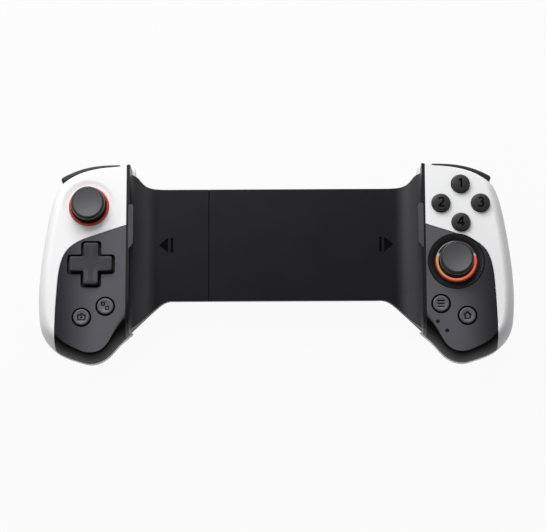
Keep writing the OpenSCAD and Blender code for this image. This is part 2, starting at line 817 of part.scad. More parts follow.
cap_roof = 3.3;                              // from the shaft's end to the cap's rim
shaft_top = pivot_depth + cap_rise - cap_roof; // from the pivot

// Shaft that turns about Y in the yoke
module stick_shaft(side) {
    shaft_low = 3.4;
    knuckle_r = shaft_r + 0.7;
    color("gray") on_side(side) at(stick_at(side), pivot_z) {
        translate([0, 0, -shaft_low]) cylinder(r = shaft_r, h = shaft_top + shaft_low);
        sphere(r = knuckle_r);
        rotate([90, 0, 0]) cylinder(r = cross_pin_r, h = yoke_w - 2 * end_gap, center = true);
    }
}

// Cap with its stem and the dome that follows it under the light ring
module stick_cap(side) {
    r = cap_d / 2;
    top = pivot_depth + cap_rise;
    skirt_r = cap_edge * 1.1;
    stem_r = 3.4;
    stem_flare = 0.7;
    dome_t = 1.1;
    dome_steps = 10;
    dome_to = 66;
    dome_from = asin(stem_r / dome_r);
    dome_step = (dome_to - dome_from) / dome_steps;
    dome_out = [for (i = [0:dome_steps]) let (a = dome_from + dome_step * i)
        dome_r * [sin(a), cos(a)]];
    dome_in = [for (i = [0:dome_steps]) let (a = dome_to * (1 - i / dome_steps))
        (dome_r - dome_t) * [sin(a), cos(a)]];
    press_room = 0.7;
    color("#2b2b2e") on_side(side) at(stick_at(side), pivot_z) difference() {
        rotate_extrude() polygon(concat(
            [[0, top - cap_hollow], [r * 0.45, top - cap_hollow * 0.78],
            [r - 2 * cap_edge, top - cap_hollow * 0.11]],
            arc([r - cap_edge, top - cap_edge], cap_edge, 90, 0, 4),
            arc([r - skirt_r, top - 2 * skirt_r], skirt_r, 0, -80, 4),
            [[stem_r + stem_flare, top - cap_roof - stem_flare], [stem_r, top - cap_roof - 2 * stem_flare]],
            dome_out, dome_in));
        cylinder(r = shaft_r + pin_gap, h = shaft_top + press_room);
    }
}

// Light guide around a stick, with a flange under the face
module stick_ring(side) {
    flange_w = 1;
    flange_top = ring_low_z + ring_flange_t;
    top = grip_t + ring_rise;
    bevel = 0.3;
    color("orangered") on_side(side) at(stick_at(side)) rotate_extrude() polygon([
        [ring_r - ring_w, ring_low_z], [ring_r + flange_w, ring_low_z],
        [ring_r + flange_w, flange_top], [ring_r, flange_top], [ring_r, top - bevel],
        [ring_r - bevel, top], [ring_r - ring_w + bevel, top], [ring_r - ring_w, top - bevel]]);
}

sheet_t = 0.8;                               // rubber sheet under the buttons
rubber_h = 1.5;                              // height of its domes
foot_r = 2.2;
rubber_r = foot_r + 0.8;                     // foot of a dome
sheet_edge = rubber_r + 0.1;                 // from a dome's middle to the sheet's edge
foot_z = board_z + sheet_t / 2 + rubber_h + button_travel + free;
upper_foot = [0, -2.9];                      // keeps the top button's foot over the board
face_feet = [for (i = [0:3]) face_places[i] + (i == 0 ? upper_foot : [0, 0])];

// Round button with a guide flange and a foot over its rubber dome
module button(side, p, d, rise, foot = [0, 0]) {
    r = d / 2;
    flange_r = r + 0.7;
    flange_t = 1;
    top = grip_t + rise;
    color("#3c3c40") on_side(side) at(p) {
        rotate_extrude() polygon([
            [0, flange_z - flange_t], [flange_r, flange_z - flange_t], [flange_r, flange_z],
            [r, flange_z], [r, top - 0.9], [r - 0.25, top - 0.35], [r - 0.9, top],
            [r * 0.4, top + 0.15], [0, top + 0.2]]);
        translate([foot.x, foot.y, foot_z]) cylinder(r = foot_r, h = flange_z - foot_z - sink);
    }
}

module face_button(i, foot = [0, 0]) {
    button(1, face_places[i], face_button_d, face_button_rise, foot);
}

module small_button(side, p) {
    button(side, p, small_button_d, small_button_rise);
}

// Rubber sheet with a dome under each button, and holes of the given radius
module membrane(side, places, holes = [], hole_r = 0) {
    xs = [for (p = places) p.x];
    ys = [for (p = places) p.y];
    low = [min(xs) - sheet_edge, min(ys) - sheet_edge];
    high = [max(xs) + sheet_edge, max(ys) + sheet_edge];
    color("lightgray") on_side(side) difference() {
        union() {
            at(low, board_z) cube([high.x - low.x, high.y - low.y, sheet_t]);
            for (p = places) at(p, board_z + sheet_t / 2) cylinder(r1 = rubber_r, r2 = foot_r, h = rubber_h);
        }
        for (p = grip_screws) at(p) cylinder(r = screw_boss_r + free, h = big);
        for (p = holes) at(p) cylinder(r = hole_r + free, h = big);
    }
}

leg_off = 8;                                 // legs of the direction pad, from its middle
cup_r = ball_r + 1.2;
dpad_feet = [for (a = [0:90:270]) dpad_at + leg_off * [cos(a), sin(a)]];

module right_upper_membrane() {
    membrane(1, face_feet);
}

module right_lower_membrane() {
    membrane(1, small_places(1), lights_at, light_r);
}

module left_membrane() {
    membrane(-1, concat(small_places(-1), dpad_feet), [dpad_at], cup_r);
}

// Cross of the direction pad, rocking on its ball
module dpad() {
    bottom = dpad_pivot_z + head_gap;
    flange_r = dpad_l / 2 + 1.6;
    flange_t = 0.9;
    leg_r = 1.5;
    leg_z = foot_z + free;
    hollow_r = 22;                           // radius of the hollow in the cross's top
    hollow_d = 0.6;
    top = grip_t + dpad_rise;
    color("#3c3c40") on_side(-1) at(dpad_at) difference() {
        union() {
            translate([0, 0, bottom]) dpad_cross(dpad_l, dpad_w, top - bottom);
            translate([0, 0, bottom]) cylinder(r = flange_r, h = flange_t);
            for (a = [0:90:270]) rotate(a) translate([leg_off, 0, leg_z])
                cylinder(r = leg_r, h = bottom + sink - leg_z);
        }
        translate([0, 0, dpad_pivot_z]) sphere(r = ball_r + pin_gap);
        translate([0, 0, top + hollow_r - hollow_d]) sphere(r = hollow_r);
    }
}

module dpad_ball() {
    color("silver") on_side(-1) at(dpad_at, dpad_pivot_z) sphere(r = ball_r);
}

// Post with the cup in which the ball rests
module dpad_cup() {
    color("dimgray") on_side(-1) at(dpad_at) difference() {
        translate([0, 0, board_z]) cylinder(r = cup_r, h = dpad_pivot_z - sink - board_z);
        translate([0, 0, dpad_pivot_z]) sphere(r = ball_r + pin_gap);
    }
}

// Light guides from the board to the face
module status_lights() {
    low = board_z + head_gap;
    color("honeydew") on_side(1) for (p = lights_at)
        at(p, low) cylinder(r = light_r, h = grip_t - low);
}

// Shoulder button that swings on the peg at its inner end
module bumper(side) {
    color("#1f1f22") on_side(side) difference() {
        intersection() {
            union() {
                upper_band(bumper_proud, bumper_depth);
                at(bumper_pivot) cylinder(r = bumper_hub_r, h = big);
            }
            bumper_sweep(0, bumper_low_z, bumper_top_z);
        }
        at(bumper_pivot) cylinder(r = pin_r + pin_gap, h = big);
    }
}

spring_room = 3;                             // length of the gap for the trigger's spring

// Trigger behind the bumper, turning on its pin
module trigger(side) {
    finger = closed_curve(trigger_knots, 3);
    trigger_proud = 1.5;
    color("#1f1f22") on_side(side) difference() {
        intersection() {
            at([trigger_x, trigger_y], trigger_z) rotate([90, 0, 90]) union() {
                cylinder(r = trigger_hub_r, h = trigger_w);
                linear_extrude(trigger_w) polygon(finger);
            }
            linear_extrude(big) polygon([for (p = grip_outline) inwards(p, -trigger_proud)]);
        }
        trigger_bore();
        at([trigger_x - over, trigger_y - trigger_hub_r - over])
            cube([spring_room + over, 2 * trigger_hub_r + over, big]);
    }
}

module trigger_pin(side) {
    hold = trigger_ear_t - 0.7;              // how far the pin reaches into each ear
    color("silver") on_side(side) at([trigger_x - free - hold, trigger_y], trigger_z)
        rotate([0, 90, 0]) cylinder(r = pin_r, h = trigger_w + 2 * (free + hold));
}

// Torsion spring on the trigger's pin, drawn as its envelope
module trigger_spring(side) {
    color("gainsboro") on_side(side) at([trigger_x + head_gap, trigger_y], trigger_z)
        rotate([0, 90, 0]) difference() {
            cylinder(r = trigger_hub_r - free, h = spring_room - 2 * head_gap);
            translate([0, 0, -over]) cylinder(r = pin_r + head_gap, h = big);
        }
}

// One screw with a cross recess, head down at the origin
module screw(l) {
    recess_l = 2.6;
    recess_w = 0.6;
    recess_d = 0.8;
    difference() {
        union() {
            cylinder(r = screw_head_r, h = screw_head_h);
            cylinder(r = screw_r, h = l);
        }
        for (a = [0, 90]) rotate(a) translate([-recess_l / 2, -recess_w / 2, -over])
            cube([recess_l, recess_w, recess_d + over]);
    }
}

module screws(side) {
    head_drop = screw_head_h + seat_gap;
    wing_screw_l = front_z(wing_screw_x) - 2 * wing_skin - wing_seat_z;
    color("silver") on_side(side) {
        for (p = grip_screws) at(p, head_seat_z - head_drop) screw(screw_l + screw_head_h);
        for (y = wing_screws_y) translate([wing_screw_x, y, wing_seat_z - head_drop])
            screw(wing_screw_l + screw_head_h);
    }
}

front_shell(1);  // right_front_shell
face_panel(1);  // right_face_panel
rear_shell(1);  // right_rear_shell
side_frame(1);  // right_side_frame
phone_lip(1);  // right_phone_lip
bridge_cover(1);  // right_bridge_cover
bridge_back(1);  // right_bridge_back
guide_rails();
board(1);  // right_board
charge_port();
stick_module(1);  // right_stick_module
stick_ring(1);  // right_stick_ring
right_upper_membrane();
right_lower_membrane();
status_lights();
screws(1);  // right_screws
trigger_pin(1);  // right_trigger_pin
trigger_spring(1);  // right_trigger_spring
face_button(0, upper_foot);  // face_button_top
face_button(1);  // face_button_left
face_button(2);  // face_button_right
face_button(3);  // face_button_bottom
small_button(1, menu_at);  // menu_button
small_button(1, home_at);  // home_button
stick_yoke(1);  // right_stick_yoke
stick_shaft(1);  // right_stick_shaft
stick_cap(1);  // right_stick_cap
bumper(1);  // right_bumper
trigger(1);  // right_trigger
front_shell(-1);  // left_front_shell
face_panel(-1);  // left_face_panel
rear_shell(-1);  // left_rear_shell
side_frame(-1);  // left_side_frame
phone_lip(-1);  // left_phone_lip
bridge_cover(-1);  // left_bridge_cover
bridge_back(-1);  // left_bridge_back
slide_tray();
board(-1);  // left_board
battery_pack();  // battery
stick_module(-1);  // left_stick_module
stick_ring(-1);  // left_stick_ring
left_membrane();
dpad_cup();
screws(-1);  // left_screws
trigger_pin(-1);  // left_trigger_pin
trigger_spring(-1);  // left_trigger_spring
dpad_ball();
dpad();
small_button(-1, view_at);  // view_button
small_button(-1, capture_at);  // capture_button
stick_yoke(-1);  // left_stick_yoke
stick_shaft(-1);  // left_stick_shaft
stick_cap(-1);  // left_stick_cap
bumper(-1);  // left_bumper
trigger(-1);  // left_trigger
return_springs();
flex_cable();
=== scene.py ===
# %% [markdown]
# # A telescopic game controller for a phone
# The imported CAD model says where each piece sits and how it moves. This lesson dresses it: smooth shells,
# rounded edges, engraved marks, light rings and finishes, lit as in a small photo studio. Lengths are
# written in millimetres and become metres when a piece is finished, so that a number here can be held
# against the real object with a ruler.

# %% Load the frame
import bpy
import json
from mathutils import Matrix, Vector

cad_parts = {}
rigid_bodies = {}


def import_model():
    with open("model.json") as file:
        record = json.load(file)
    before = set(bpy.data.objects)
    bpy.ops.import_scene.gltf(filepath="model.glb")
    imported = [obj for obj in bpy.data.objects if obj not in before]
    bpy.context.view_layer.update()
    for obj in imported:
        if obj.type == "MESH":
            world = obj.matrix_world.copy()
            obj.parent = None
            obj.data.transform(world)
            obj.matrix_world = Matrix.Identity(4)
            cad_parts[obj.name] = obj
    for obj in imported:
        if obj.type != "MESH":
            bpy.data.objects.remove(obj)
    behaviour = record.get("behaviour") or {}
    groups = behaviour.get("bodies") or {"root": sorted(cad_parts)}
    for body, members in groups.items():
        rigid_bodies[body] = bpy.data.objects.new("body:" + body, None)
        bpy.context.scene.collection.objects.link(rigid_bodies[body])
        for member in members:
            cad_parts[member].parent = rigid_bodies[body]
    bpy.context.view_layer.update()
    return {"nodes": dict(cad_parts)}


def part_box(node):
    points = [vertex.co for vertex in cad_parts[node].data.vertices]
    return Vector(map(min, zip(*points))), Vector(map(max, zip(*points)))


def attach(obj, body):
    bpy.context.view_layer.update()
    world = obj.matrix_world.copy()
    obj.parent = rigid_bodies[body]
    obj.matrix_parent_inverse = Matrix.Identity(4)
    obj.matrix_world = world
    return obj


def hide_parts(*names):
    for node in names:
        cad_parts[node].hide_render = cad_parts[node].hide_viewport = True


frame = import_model()

# %% [markdown]
# ## Curves
# The grips have no straight edge: a designer would draw them with a few points and a spline through them.
# The cubic used here passes through each of its points, so the points can be measured on the real outline.
# Blender's own curve objects could do this too, but plain numbers are easier to bend into a surface later.

# %% Splines through points
import json
import math
import bmesh
import bpy
import numpy as np
from mathutils import Matrix, Vector

MM = 0.001
MIDDLE_Y = 2.4548                            # the controller's middle, over the grip's own middle


def cubic(a, b, c, d, t):
    a, b, c, d = (np.array(p, float) for p in (a, b, c, d))
    square = (2 * a - 5 * b + 4 * c - d) * t ** 2
    cube = (3 * b - a - 3 * c + d) * t ** 3
    return 0.5 * (2 * b + (c - a) * t + square + cube)


def closed_curve(knots, steps):
    n = len(knots)
    return [cubic(knots[i - 1], knots[i], knots[(i + 1) % n], knots[(i + 2) % n], k / steps)
            for i in range(n) for k in range(steps)]


def open_curve(knots, steps):
    last = len(knots) - 1
    at = [knots[0], *knots, knots[-1]]
    return [cubic(at[i], at[i + 1], at[i + 2], at[i + 3], k / steps)
            for i in range(last) for k in range(steps)] + [np.array(knots[-1], float)]


print("a spline through 3 points:", len(open_curve([(0, 0), (1, 1), (2, 0)], 4)), "points")

# %% [markdown]
# ## Skins, lathes and cutters
# Nearly every piece here is a row of loops joined by quads. A lathe is the same thing with round loops,
# and a prism has two loops only. Openings are cut with Blender's exact Boolean, which is what a drill or a
# mould's insert does to the real part. The work is done in millimetres, because tiny numbers make Booleans
# less sure, and points that a cut leaves a hair apart are welded, so that every piece stays closed.

# %% Skins and lathes
def as_mesh(bm):
    bmesh.ops.recalc_face_normals(bm, faces=bm.faces)
    mesh = bpy.data.meshes.new("work")
    bm.to_mesh(mesh)
    bm.free()
    return mesh


def skin(rings, wrap=False):
    bm = bmesh.new()
    loops = [[bm.verts.new(p) for p in ring] for ring in rings]
    n = len(loops[0])
    for a, b in zip(loops, loops[1:] + ([loops[0]] if wrap else [])):
        for i in range(n):
            bm.faces.new((a[i], a[(i + 1) % n], b[(i + 1) % n], b[i]))
    if not wrap:
        bm.faces.new(loops[0][::-1])
        bm.faces.new(loops[-1])
    bmesh.ops.remove_doubles(bm, verts=bm.verts, dist=1e-4)
    return as_mesh(bm)


def circle(r, z, at=(0, 0), n=72):
    return [(at[0] + r * math.cos(2 * math.pi * i / n), at[1] + r * math.sin(2 * math.pi * i / n), z)
            for i in range(n)]


def lathe(profile, at=(0, 0), n=72, wrap=False):
    return skin([circle(max(r, 0), z, at, n) for r, z in profile], wrap)


def prism(outline, low, high):
    return skin([[(x, y, z) for x, y in outline] for z in (low, high)])


print("a lathe of 3 points:", len(lathe([(0, 0), (2, 1), (0, 2)]).polygons), "faces")

# %% Cutting and joining
def carve(mesh, tool, how="DIFFERENCE"):
    work, cutter = (bpy.data.objects.new(n, m) for n, m in (("work", mesh), ("cutter", tool)))
    for o in (work, cutter):
        bpy.context.scene.collection.objects.link(o)
    cut = work.modifiers.new("cut", "BOOLEAN")
    cut.operation, cut.solver, cut.object = how, "EXACT", cutter
    made = bpy.data.meshes.new_from_object(work.evaluated_get(bpy.context.evaluated_depsgraph_get()))
    for o in (work, cutter):
        bpy.data.objects.remove(o)
    bm = bmesh.new()
    bm.from_mesh(made)
    bmesh.ops.remove_doubles(bm, verts=bm.verts, dist=0.002)
    bmesh.ops.dissolve_degenerate(bm, edges=bm.edges, dist=0.001)
    bm.to_mesh(made)
    bm.free()
    return made


def together(*meshes):
    bm = bmesh.new()
    for m in meshes:
        bm.from_mesh(m)
    return as_mesh(bm)


def keep_beyond(mesh, point, direction):
    bm = bmesh.new()
    bm.from_mesh(mesh)
    bmesh.ops.bisect_plane(bm, geom=bm.verts[:] + bm.edges[:] + bm.faces[:], plane_co=point,
                           plane_no=direction, clear_inner=True)
    bmesh.ops.holes_fill(bm, edges=[e for e in bm.edges if e.is_boundary], sides=0)
    return as_mesh(bm)


print("meshes can be cut, joined and halved")

# %% [markdown]
# ## A small language for finishes
# A material in Blender is a graph of nodes. To keep the graphs readable, a socket is wrapped in a small
# class on which Python's own operators work: writing `1 - mask` adds the Math node that does it. Every
# other node comes from one method. Positions are taken from the object's own coordinates, so that a
# pattern stays on its piece when the piece moves.

# %% Sockets that behave like numbers
class Flow:
    def __init__(self, finish, socket):
        self.finish, self.socket = finish, socket

    def math(self, how, a, b=0.0):
        return self.finish.node("ShaderNodeMath", {"operation": how}, {0: a, 1: b})

    def __add__(self, other):
        return self.math("ADD", self, other)

    def __radd__(self, other):
        return self.math("ADD", other, self)

    def __sub__(self, other):
        return self.math("SUBTRACT", self, other)

    def __rsub__(self, other):
        return self.math("SUBTRACT", other, self)

    def __mul__(self, other):
        return self.math("MULTIPLY", self, other)

    def __rmul__(self, other):
        return self.math("MULTIPLY", other, self)

    def __truediv__(self, other):
        return self.math("DIVIDE", self, other)

    def __rtruediv__(self, other):
        return self.math("DIVIDE", other, self)

    def __pow__(self, other):
        return self.math("POWER", self, other)

    def __abs__(self):
        return self.math("ABSOLUTE", self)


print("sockets can be added, subtracted, multiplied and divided")

# %% A finish and its nodes
class Finish:
    def __init__(self, name, **constants):
        self.material = bpy.data.materials.new(name)
        self.material.use_nodes = True
        self.tree = self.material.node_tree
        self.shader = self.tree.nodes["Principled BSDF"]
        for socket, value in constants.items():
            self.set(socket.replace("_", " "), value)
        self.here = self.node("ShaderNodeTexCoord", {}, {}, "Object")

    def node(self, kind, settings, sockets, out=0):
        made = self.tree.nodes.new(kind)
        for key, value in settings.items():
            if key == "stops":
                ramp = made.color_ramp.elements
                while len(ramp) < len(value):
                    ramp.new(0.5)
                for stop, (where, colour) in zip(ramp, value):
                    stop.position, stop.color = where, (*colour, 1)
            else:
                setattr(made, key, value)
        for key, value in sockets.items():
            self.feed(made.inputs[key], value)
        return Flow(self, made.outputs[out])

    def feed(self, socket, value):
        if isinstance(value, Flow):
            self.tree.links.new(value.socket, socket)
        else:
            socket.default_value = value

    def set(self, socket, value):
        self.feed(self.shader.inputs[socket], value)
        return self

    def mix(self, share, a, b):
        a, b = ((*c, 1) if isinstance(c, tuple) else c for c in (a, b))
        return self.node("ShaderNodeMix", {"data_type": "RGBA"}, {0: share, 6: a, 7: b}, 2)

    def noise(self, scale, detail=2.0):
        return self.node("ShaderNodeTexNoise", {}, {"Vector": self.here, "Scale": scale, "Detail": detail})

    def axis(self, name, flow=None):
        return self.node("ShaderNodeSeparateXYZ", {}, {0: flow or self.here}, name)

    def smooth(self, value, low, high):
        return self.node("ShaderNodeMapRange", {"interpolation_type": "SMOOTHSTEP"},
                         {"Value": value, "From Min": low, "From Max": high})

    def bump(self, height, depth, strength=1.0):
        self.set("Normal", self.node("ShaderNodeBump", {}, {"Height": height, "Distance": depth * MM,
                                                            "Strength": strength}))
        return self


print("finishes are written as Python sums")

# %% [markdown]
# ## Moulded plastics
# The shells are injection moulded: smooth satin white outside, finely eroded charcoal on the face panel,
# and a darker satin black on the bridge. A mould's texture is far smaller than a pixel, so it is a bump
# that breaks up highlights. A very weak, wide noise in colour and roughness keeps large surfaces from
# looking computed.

# %% One recipe for all moulded plastics
def moulded(name, dark, light, rough, grain_depth, grain=2600, sheen=0.5, wide=60):
    f = Finish(name, Specular_IOR_Level=sheen)
    cloud = f.noise(wide, 3)
    fine = f.noise(grain, 2)
    f.set("Base Color", f.mix(cloud, dark, light))
    f.set("Roughness", rough + 0.08 * (cloud - 0.5) + 0.10 * (fine - 0.5))
    return f.bump(fine, grain_depth)


white = moulded("satin_white", (0.865, 0.865, 0.87), (0.885, 0.885, 0.89), 0.42, 0.010, sheen=0.3)
frame_black = moulded("frame_black", (0.005, 0.005, 0.006), (0.007, 0.007, 0.008), 0.36, 0.006, sheen=0.25)
back_black = moulded("bridge_back_black", (0.009, 0.009, 0.010), (0.012, 0.012, 0.013), 0.55, 0.03,
                     grain=1500)
tray_black = moulded("slide_black", (0.006, 0.006, 0.007), (0.010, 0.010, 0.011), 0.38, 0.006)
button_dark = moulded("button_dark", (0.016, 0.016, 0.017), (0.021, 0.021, 0.022), 0.36, 0.008, sheen=0.4)
button_grey = moulded("button_grey", (0.098, 0.096, 0.102), (0.116, 0.114, 0.120), 0.42, 0.010, sheen=0.35)
pad_dark = moulded("pad_dark", (0.030, 0.030, 0.034), (0.036, 0.036, 0.040), 0.44, 0.014, sheen=0.3)
shoulder_dark = moulded("shoulder_dark", (0.0065, 0.0065, 0.007), (0.0090, 0.0090, 0.0095), 0.40, 0.010,
                        sheen=0.3)
ink_black = moulded("mark_black", (0.0015, 0.0015, 0.0015), (0.0025, 0.0025, 0.003), 0.8, 0.01, sheen=0.05)
print("plastics:", white.material.name, frame_black.material.name, button_grey.material.name)

# %% [markdown]
# The bridge is a satin black, and its two ramps are painted a little greyer: a painted sheen that stands
# in for the light that falls on them as they lean. A ramp is where the surface's own normal leans
# sideways.

# %% Black bridge with a painted sheen on its ramps
bridge_black = Finish("bridge_black", Specular_IOR_Level=0.18)
cloud = bridge_black.noise(60, 3)
grit = bridge_black.noise(2600, 2)
lean = abs(bridge_black.axis("X", bridge_black.node("ShaderNodeNewGeometry", {}, {}, "Normal")))
flat_black = bridge_black.mix(cloud, (0.0034, 0.0034, 0.0054), (0.0046, 0.0046, 0.0070))
ramp_painted_sheen = bridge_black.mix(cloud, (0.034, 0.034, 0.037), (0.042, 0.042, 0.045))
# painted light: where the normal leans sideways, the ramps get a lighter painted sheen
painted_light_share = bridge_black.smooth(lean, 0.03, 0.32)
bridge_black.set("Base Color", bridge_black.mix(painted_light_share, flat_black, ramp_painted_sheen))
bridge_black.set("Roughness", 0.36 + 0.08 * (cloud - 0.5) + 0.10 * (grit - 0.5))
bridge_black.bump(grit, 0.010)
print("bridge:", bridge_black.material.name)

# %% [markdown]
# The charcoal panel changes over its own surface. The flat face is finely eroded, light towards the phone
# and fading to a deeper charcoal at its outer edge, which is painted shade; the bevel that turns down to
# the rear shell is painted nearly black, which is painted shade too. The surface's own normal tells face
# and bevel apart, and the distance from the middle gives the fade.

# %% Charcoal face panel
charcoal = Finish("charcoal_panel", Specular_IOR_Level=0.06)
cloud = charcoal.noise(55, 3)
grit = charcoal.noise(2400, 2)
facing = charcoal.axis("Z", charcoal.node("ShaderNodeNewGeometry", {}, {}, "Normal"))
flat = charcoal.smooth(facing, 0.90, 0.995)
# painted shade: the face gets darker towards its outer edge
fade = charcoal.smooth(abs(charcoal.axis("X")) / MM, 84, 107)
inner_colour = charcoal.mix(cloud, (0.098, 0.097, 0.107), (0.110, 0.109, 0.119))
shaded_outer_colour = charcoal.mix(cloud, (0.018, 0.017, 0.021), (0.023, 0.022, 0.026))
face_colour = charcoal.mix(fade, inner_colour, shaded_outer_colour)
# painted shade: the down-turned bevel is painted nearly black
charcoal.set("Base Color", charcoal.mix(flat, (0.0022, 0.0022, 0.0026), face_colour))
charcoal.set("Roughness", 0.42 + 0.08 * flat + 0.1 * (grit - 0.5))
charcoal.bump(grit, 0.016)
print("charcoal panel with a dark bevel")

# %% [markdown]
# ## Rubber, light guides, metal and what lies inside
# Stick caps are rubber: matte, with a coarse grain. The light rings are dyed clear plastic with lamps
# behind: the left one only shows its colour, and the lower half of the right one is lit. What lies inside
# is seldom seen, yet it gets its own simple finish, because the bridge opens and the triggers leave gaps.

# %% Rubber
def rubber(name, dark, light, rough, grain_depth, grain=1500):
    f = Finish(name, Specular_IOR_Level=0.3)
    grit = f.noise(grain, 3)
    f.set("Base Color", f.mix(f.noise(120, 2), dark, light))
    f.set("Roughness", rough + 0.16 * (grit - 0.5))
    return f.bump(grit, grain_depth)


lip_rubber = rubber("lip_rubber", (0.050, 0.050, 0.053), (0.060, 0.060, 0.064), 0.52, 0.02)
membrane_grey = rubber("membrane_grey", (0.50, 0.50, 0.50), (0.58, 0.58, 0.57), 0.6, 0.02)
print("rubbers:", lip_rubber.material.name, membrane_grey.material.name)

# %% [markdown]
# The top of a stick's cap is painted greyer than its rolled edge, as painted light where it faces up, and a
# thin painted highlight rings the bead. The distance from the axis, worked out from the position, parts them.

# %% Stick caps
SIDES = {1: "right", -1: "left"}
STICKS = {1: (86.4, 1.0), -1: (90.0, 28.9)}


def from_axis(f, side):
    x = f.axis("X") / MM - side * STICKS[side][0]
    y = f.axis("Y") / MM - (STICKS[side][1] - MIDDLE_Y)
    return x, y, (x * x + y * y) ** 0.5


def cap_rubber(side):
    f = Finish(SIDES[side] + "_cap_rubber", Specular_IOR_Level=0.35)
    grit = f.noise(1500, 3)
    x, y, r = from_axis(f, side)
    z = f.axis("Z") / MM
    # painted light: the top inside the rolled edge is painted lighter
    painted_light_share = (1 - f.smooth(r, 6.5, 7.2)) * f.smooth(z, 36.3, 36.8)
    # painted highlight: a pale line on the bead under the rolled edge
    bead = f.smooth(r, 7.5, 7.7) * f.smooth(z, 34.9, 35.1) * (1 - f.smooth(z, 35.9, 36.05))
    edge_colour = f.mix(f.noise(120, 2), (0.016, 0.016, 0.017), (0.022, 0.022, 0.023))
    edge_colour = f.mix(bead, edge_colour, (0.16, 0.16, 0.165))
    painted_lit_top_colour = f.mix(f.noise(120, 2), (0.078, 0.078, 0.084), (0.096, 0.096, 0.102))
    f.set("Base Color", f.mix(painted_light_share, edge_colour, painted_lit_top_colour))
    f.set("Roughness", 0.34 + 0.22 * painted_light_share + 0.14 * (grit - 0.5))
    return f.bump(grit, 0.02)


cap_finish = {side: cap_rubber(side) for side in SIDES}
print("cap rubbers:", [f.material.name for f in cap_finish.values()])

# %% [markdown]
# The left light ring only shows its dye. In the right one lamps shine upwards through its lower part: the
# glow is strongest along the ring's crown, yellower on the left and redder on the right, and on either side
# it ends in a painted highlight, a pale tip added to the glow. The upper part stays smoky. The bezel around
# this stick is a dark funnel with a black rim.

# %% Light rings
def dyed(name, dark, light):
    f = Finish(name, Coat_Weight=0.4, Coat_Roughness=0.12)
    f.set("Base Color", f.mix(f.noise(300, 2), dark, light))
    f.set("Roughness", 0.22 + 0.12 * f.noise(900, 2))
    return f


ring_red = dyed("ring_red", (0.50, 0.046, 0.014), (0.58, 0.062, 0.020))
ring_lit = dyed("ring_lit", (0.030, 0.027, 0.027), (0.042, 0.038, 0.037))
ring_x, ring_y, ring_r = from_axis(ring_lit, 1)
crown = 1 - ring_lit.smooth(abs(ring_r - 9.12), 0.22, 0.80)
lamp_on = 1 - ring_lit.smooth(ring_y, 2.6, 3.4)
# painted highlight: a pale tip at each end of the lit arc
painted_tip_highlight = crown * ring_lit.smooth(ring_y, 2.2, 2.9) * (1 - ring_lit.smooth(ring_y, 3.3, 4.2))
warm_stops = [(0.0, (0.58, 0.28, 0.075)), (0.16, (0.62, 0.26, 0.075)), (0.36, (0.76, 0.17, 0.085)),
              (0.55, (0.77, 0.20, 0.085)), (1.0, (0.74, 0.085, 0.060))]
warm = ring_lit.node("ShaderNodeValToRGB", {"stops": warm_stops}, {0: 0.5 + ring_x / 20})
glow = ring_lit.mix(crown, (0.13, 0.014, 0.004), warm)
glow = ring_lit.mix(lamp_on, (0.0, 0.0, 0.0), glow)
ring_lit.set("Emission Color", ring_lit.mix(0.45 * painted_tip_highlight, glow, (0.75, 0.70, 0.65)))
ring_lit.set("Emission Strength", 1.0)
print("rings:", ring_red.material.name, ring_lit.material.name)

# %% Bezel
bezel_black = Finish("bezel_black", Specular_IOR_Level=0.25)
bezel_r = from_axis(bezel_black, 1)[2]
funnel_grey = bezel_black.smooth(bezel_r, 10.6, 11.8) * (1 - bezel_black.smooth(bezel_r, 12.6, 13.1))
funnel_grain = bezel_black.noise(2600, 2)
bezel_black.set("Base Color", bezel_black.mix(funnel_grey, (0.003, 0.003, 0.0035), (0.020, 0.020, 0.022)))
bezel_black.set("Roughness", 0.36 + 0.1 * (funnel_grain - 0.5))
bezel_black.bump(funnel_grain, 0.006)
print("bezel:", bezel_black.material.name)

# %% [markdown]
# Steel and foil are metals, so their colour is that of their reflections, and a fine grain breaks these
# up. The board's tracks are cells measured along the axes, and the wires of the ribbon are bands across
# its width.

# %% Metal
steel = Finish("plain_steel", Metallic=1.0)
steel.set("Base Color", steel.mix(steel.noise(500, 3), (0.52, 0.52, 0.54), (0.63, 0.63, 0.65)))
steel.set("Roughness", 0.26 + 0.2 * steel.noise(1800, 2))
steel.bump(steel.noise(3000, 2), 0.004)
foil = Finish("battery_foil", Metallic=0.9)
foil.set("Base Color", foil.mix(foil.noise(90, 3), (0.60, 0.60, 0.62), (0.72, 0.72, 0.74)))
foil.set("Roughness", 0.36 + 0.16 * foil.noise(260, 3))
foil.bump(foil.noise(180, 3), 0.08)
print("metals:", steel.material.name, foil.material.name)

# %% Board, film and plain plastics
board_green = Finish("board_green", Specular_IOR_Level=0.5)
tracks = board_green.node("ShaderNodeTexVoronoi", {"distance": "MANHATTAN", "feature": "F1"},
                          {"Vector": board_green.here, "Scale": 420.0})
track = board_green.smooth(tracks, 0.32, 0.38)
board_green.set("Base Color", board_green.mix(track, (0.012, 0.12, 0.045), (0.020, 0.19, 0.075)))
board_green.set("Roughness", 0.34 + 0.14 * track)
board_green.bump(track, 0.03)
ribbon_film = Finish("ribbon_film", Specular_IOR_Level=0.5)
lines = ribbon_film.node("ShaderNodeTexWave", {"wave_type": "BANDS", "bands_direction": "Y"},
                         {"Vector": ribbon_film.here, "Scale": 320.0})
ribbon_film.set("Base Color", ribbon_film.mix(lines, (0.52, 0.20, 0.03), (0.72, 0.36, 0.09)))
ribbon_film.set("Roughness", 0.3 + 0.15 * lines)
gimbal = moulded("gimbal_grey", (0.24, 0.24, 0.24), (0.30, 0.30, 0.30), 0.5, 0.02)
smoked = moulded("smoked_clear", (0.002, 0.002, 0.0025), (0.0035, 0.0035, 0.004), 0.45, 0.002, sheen=0.2)
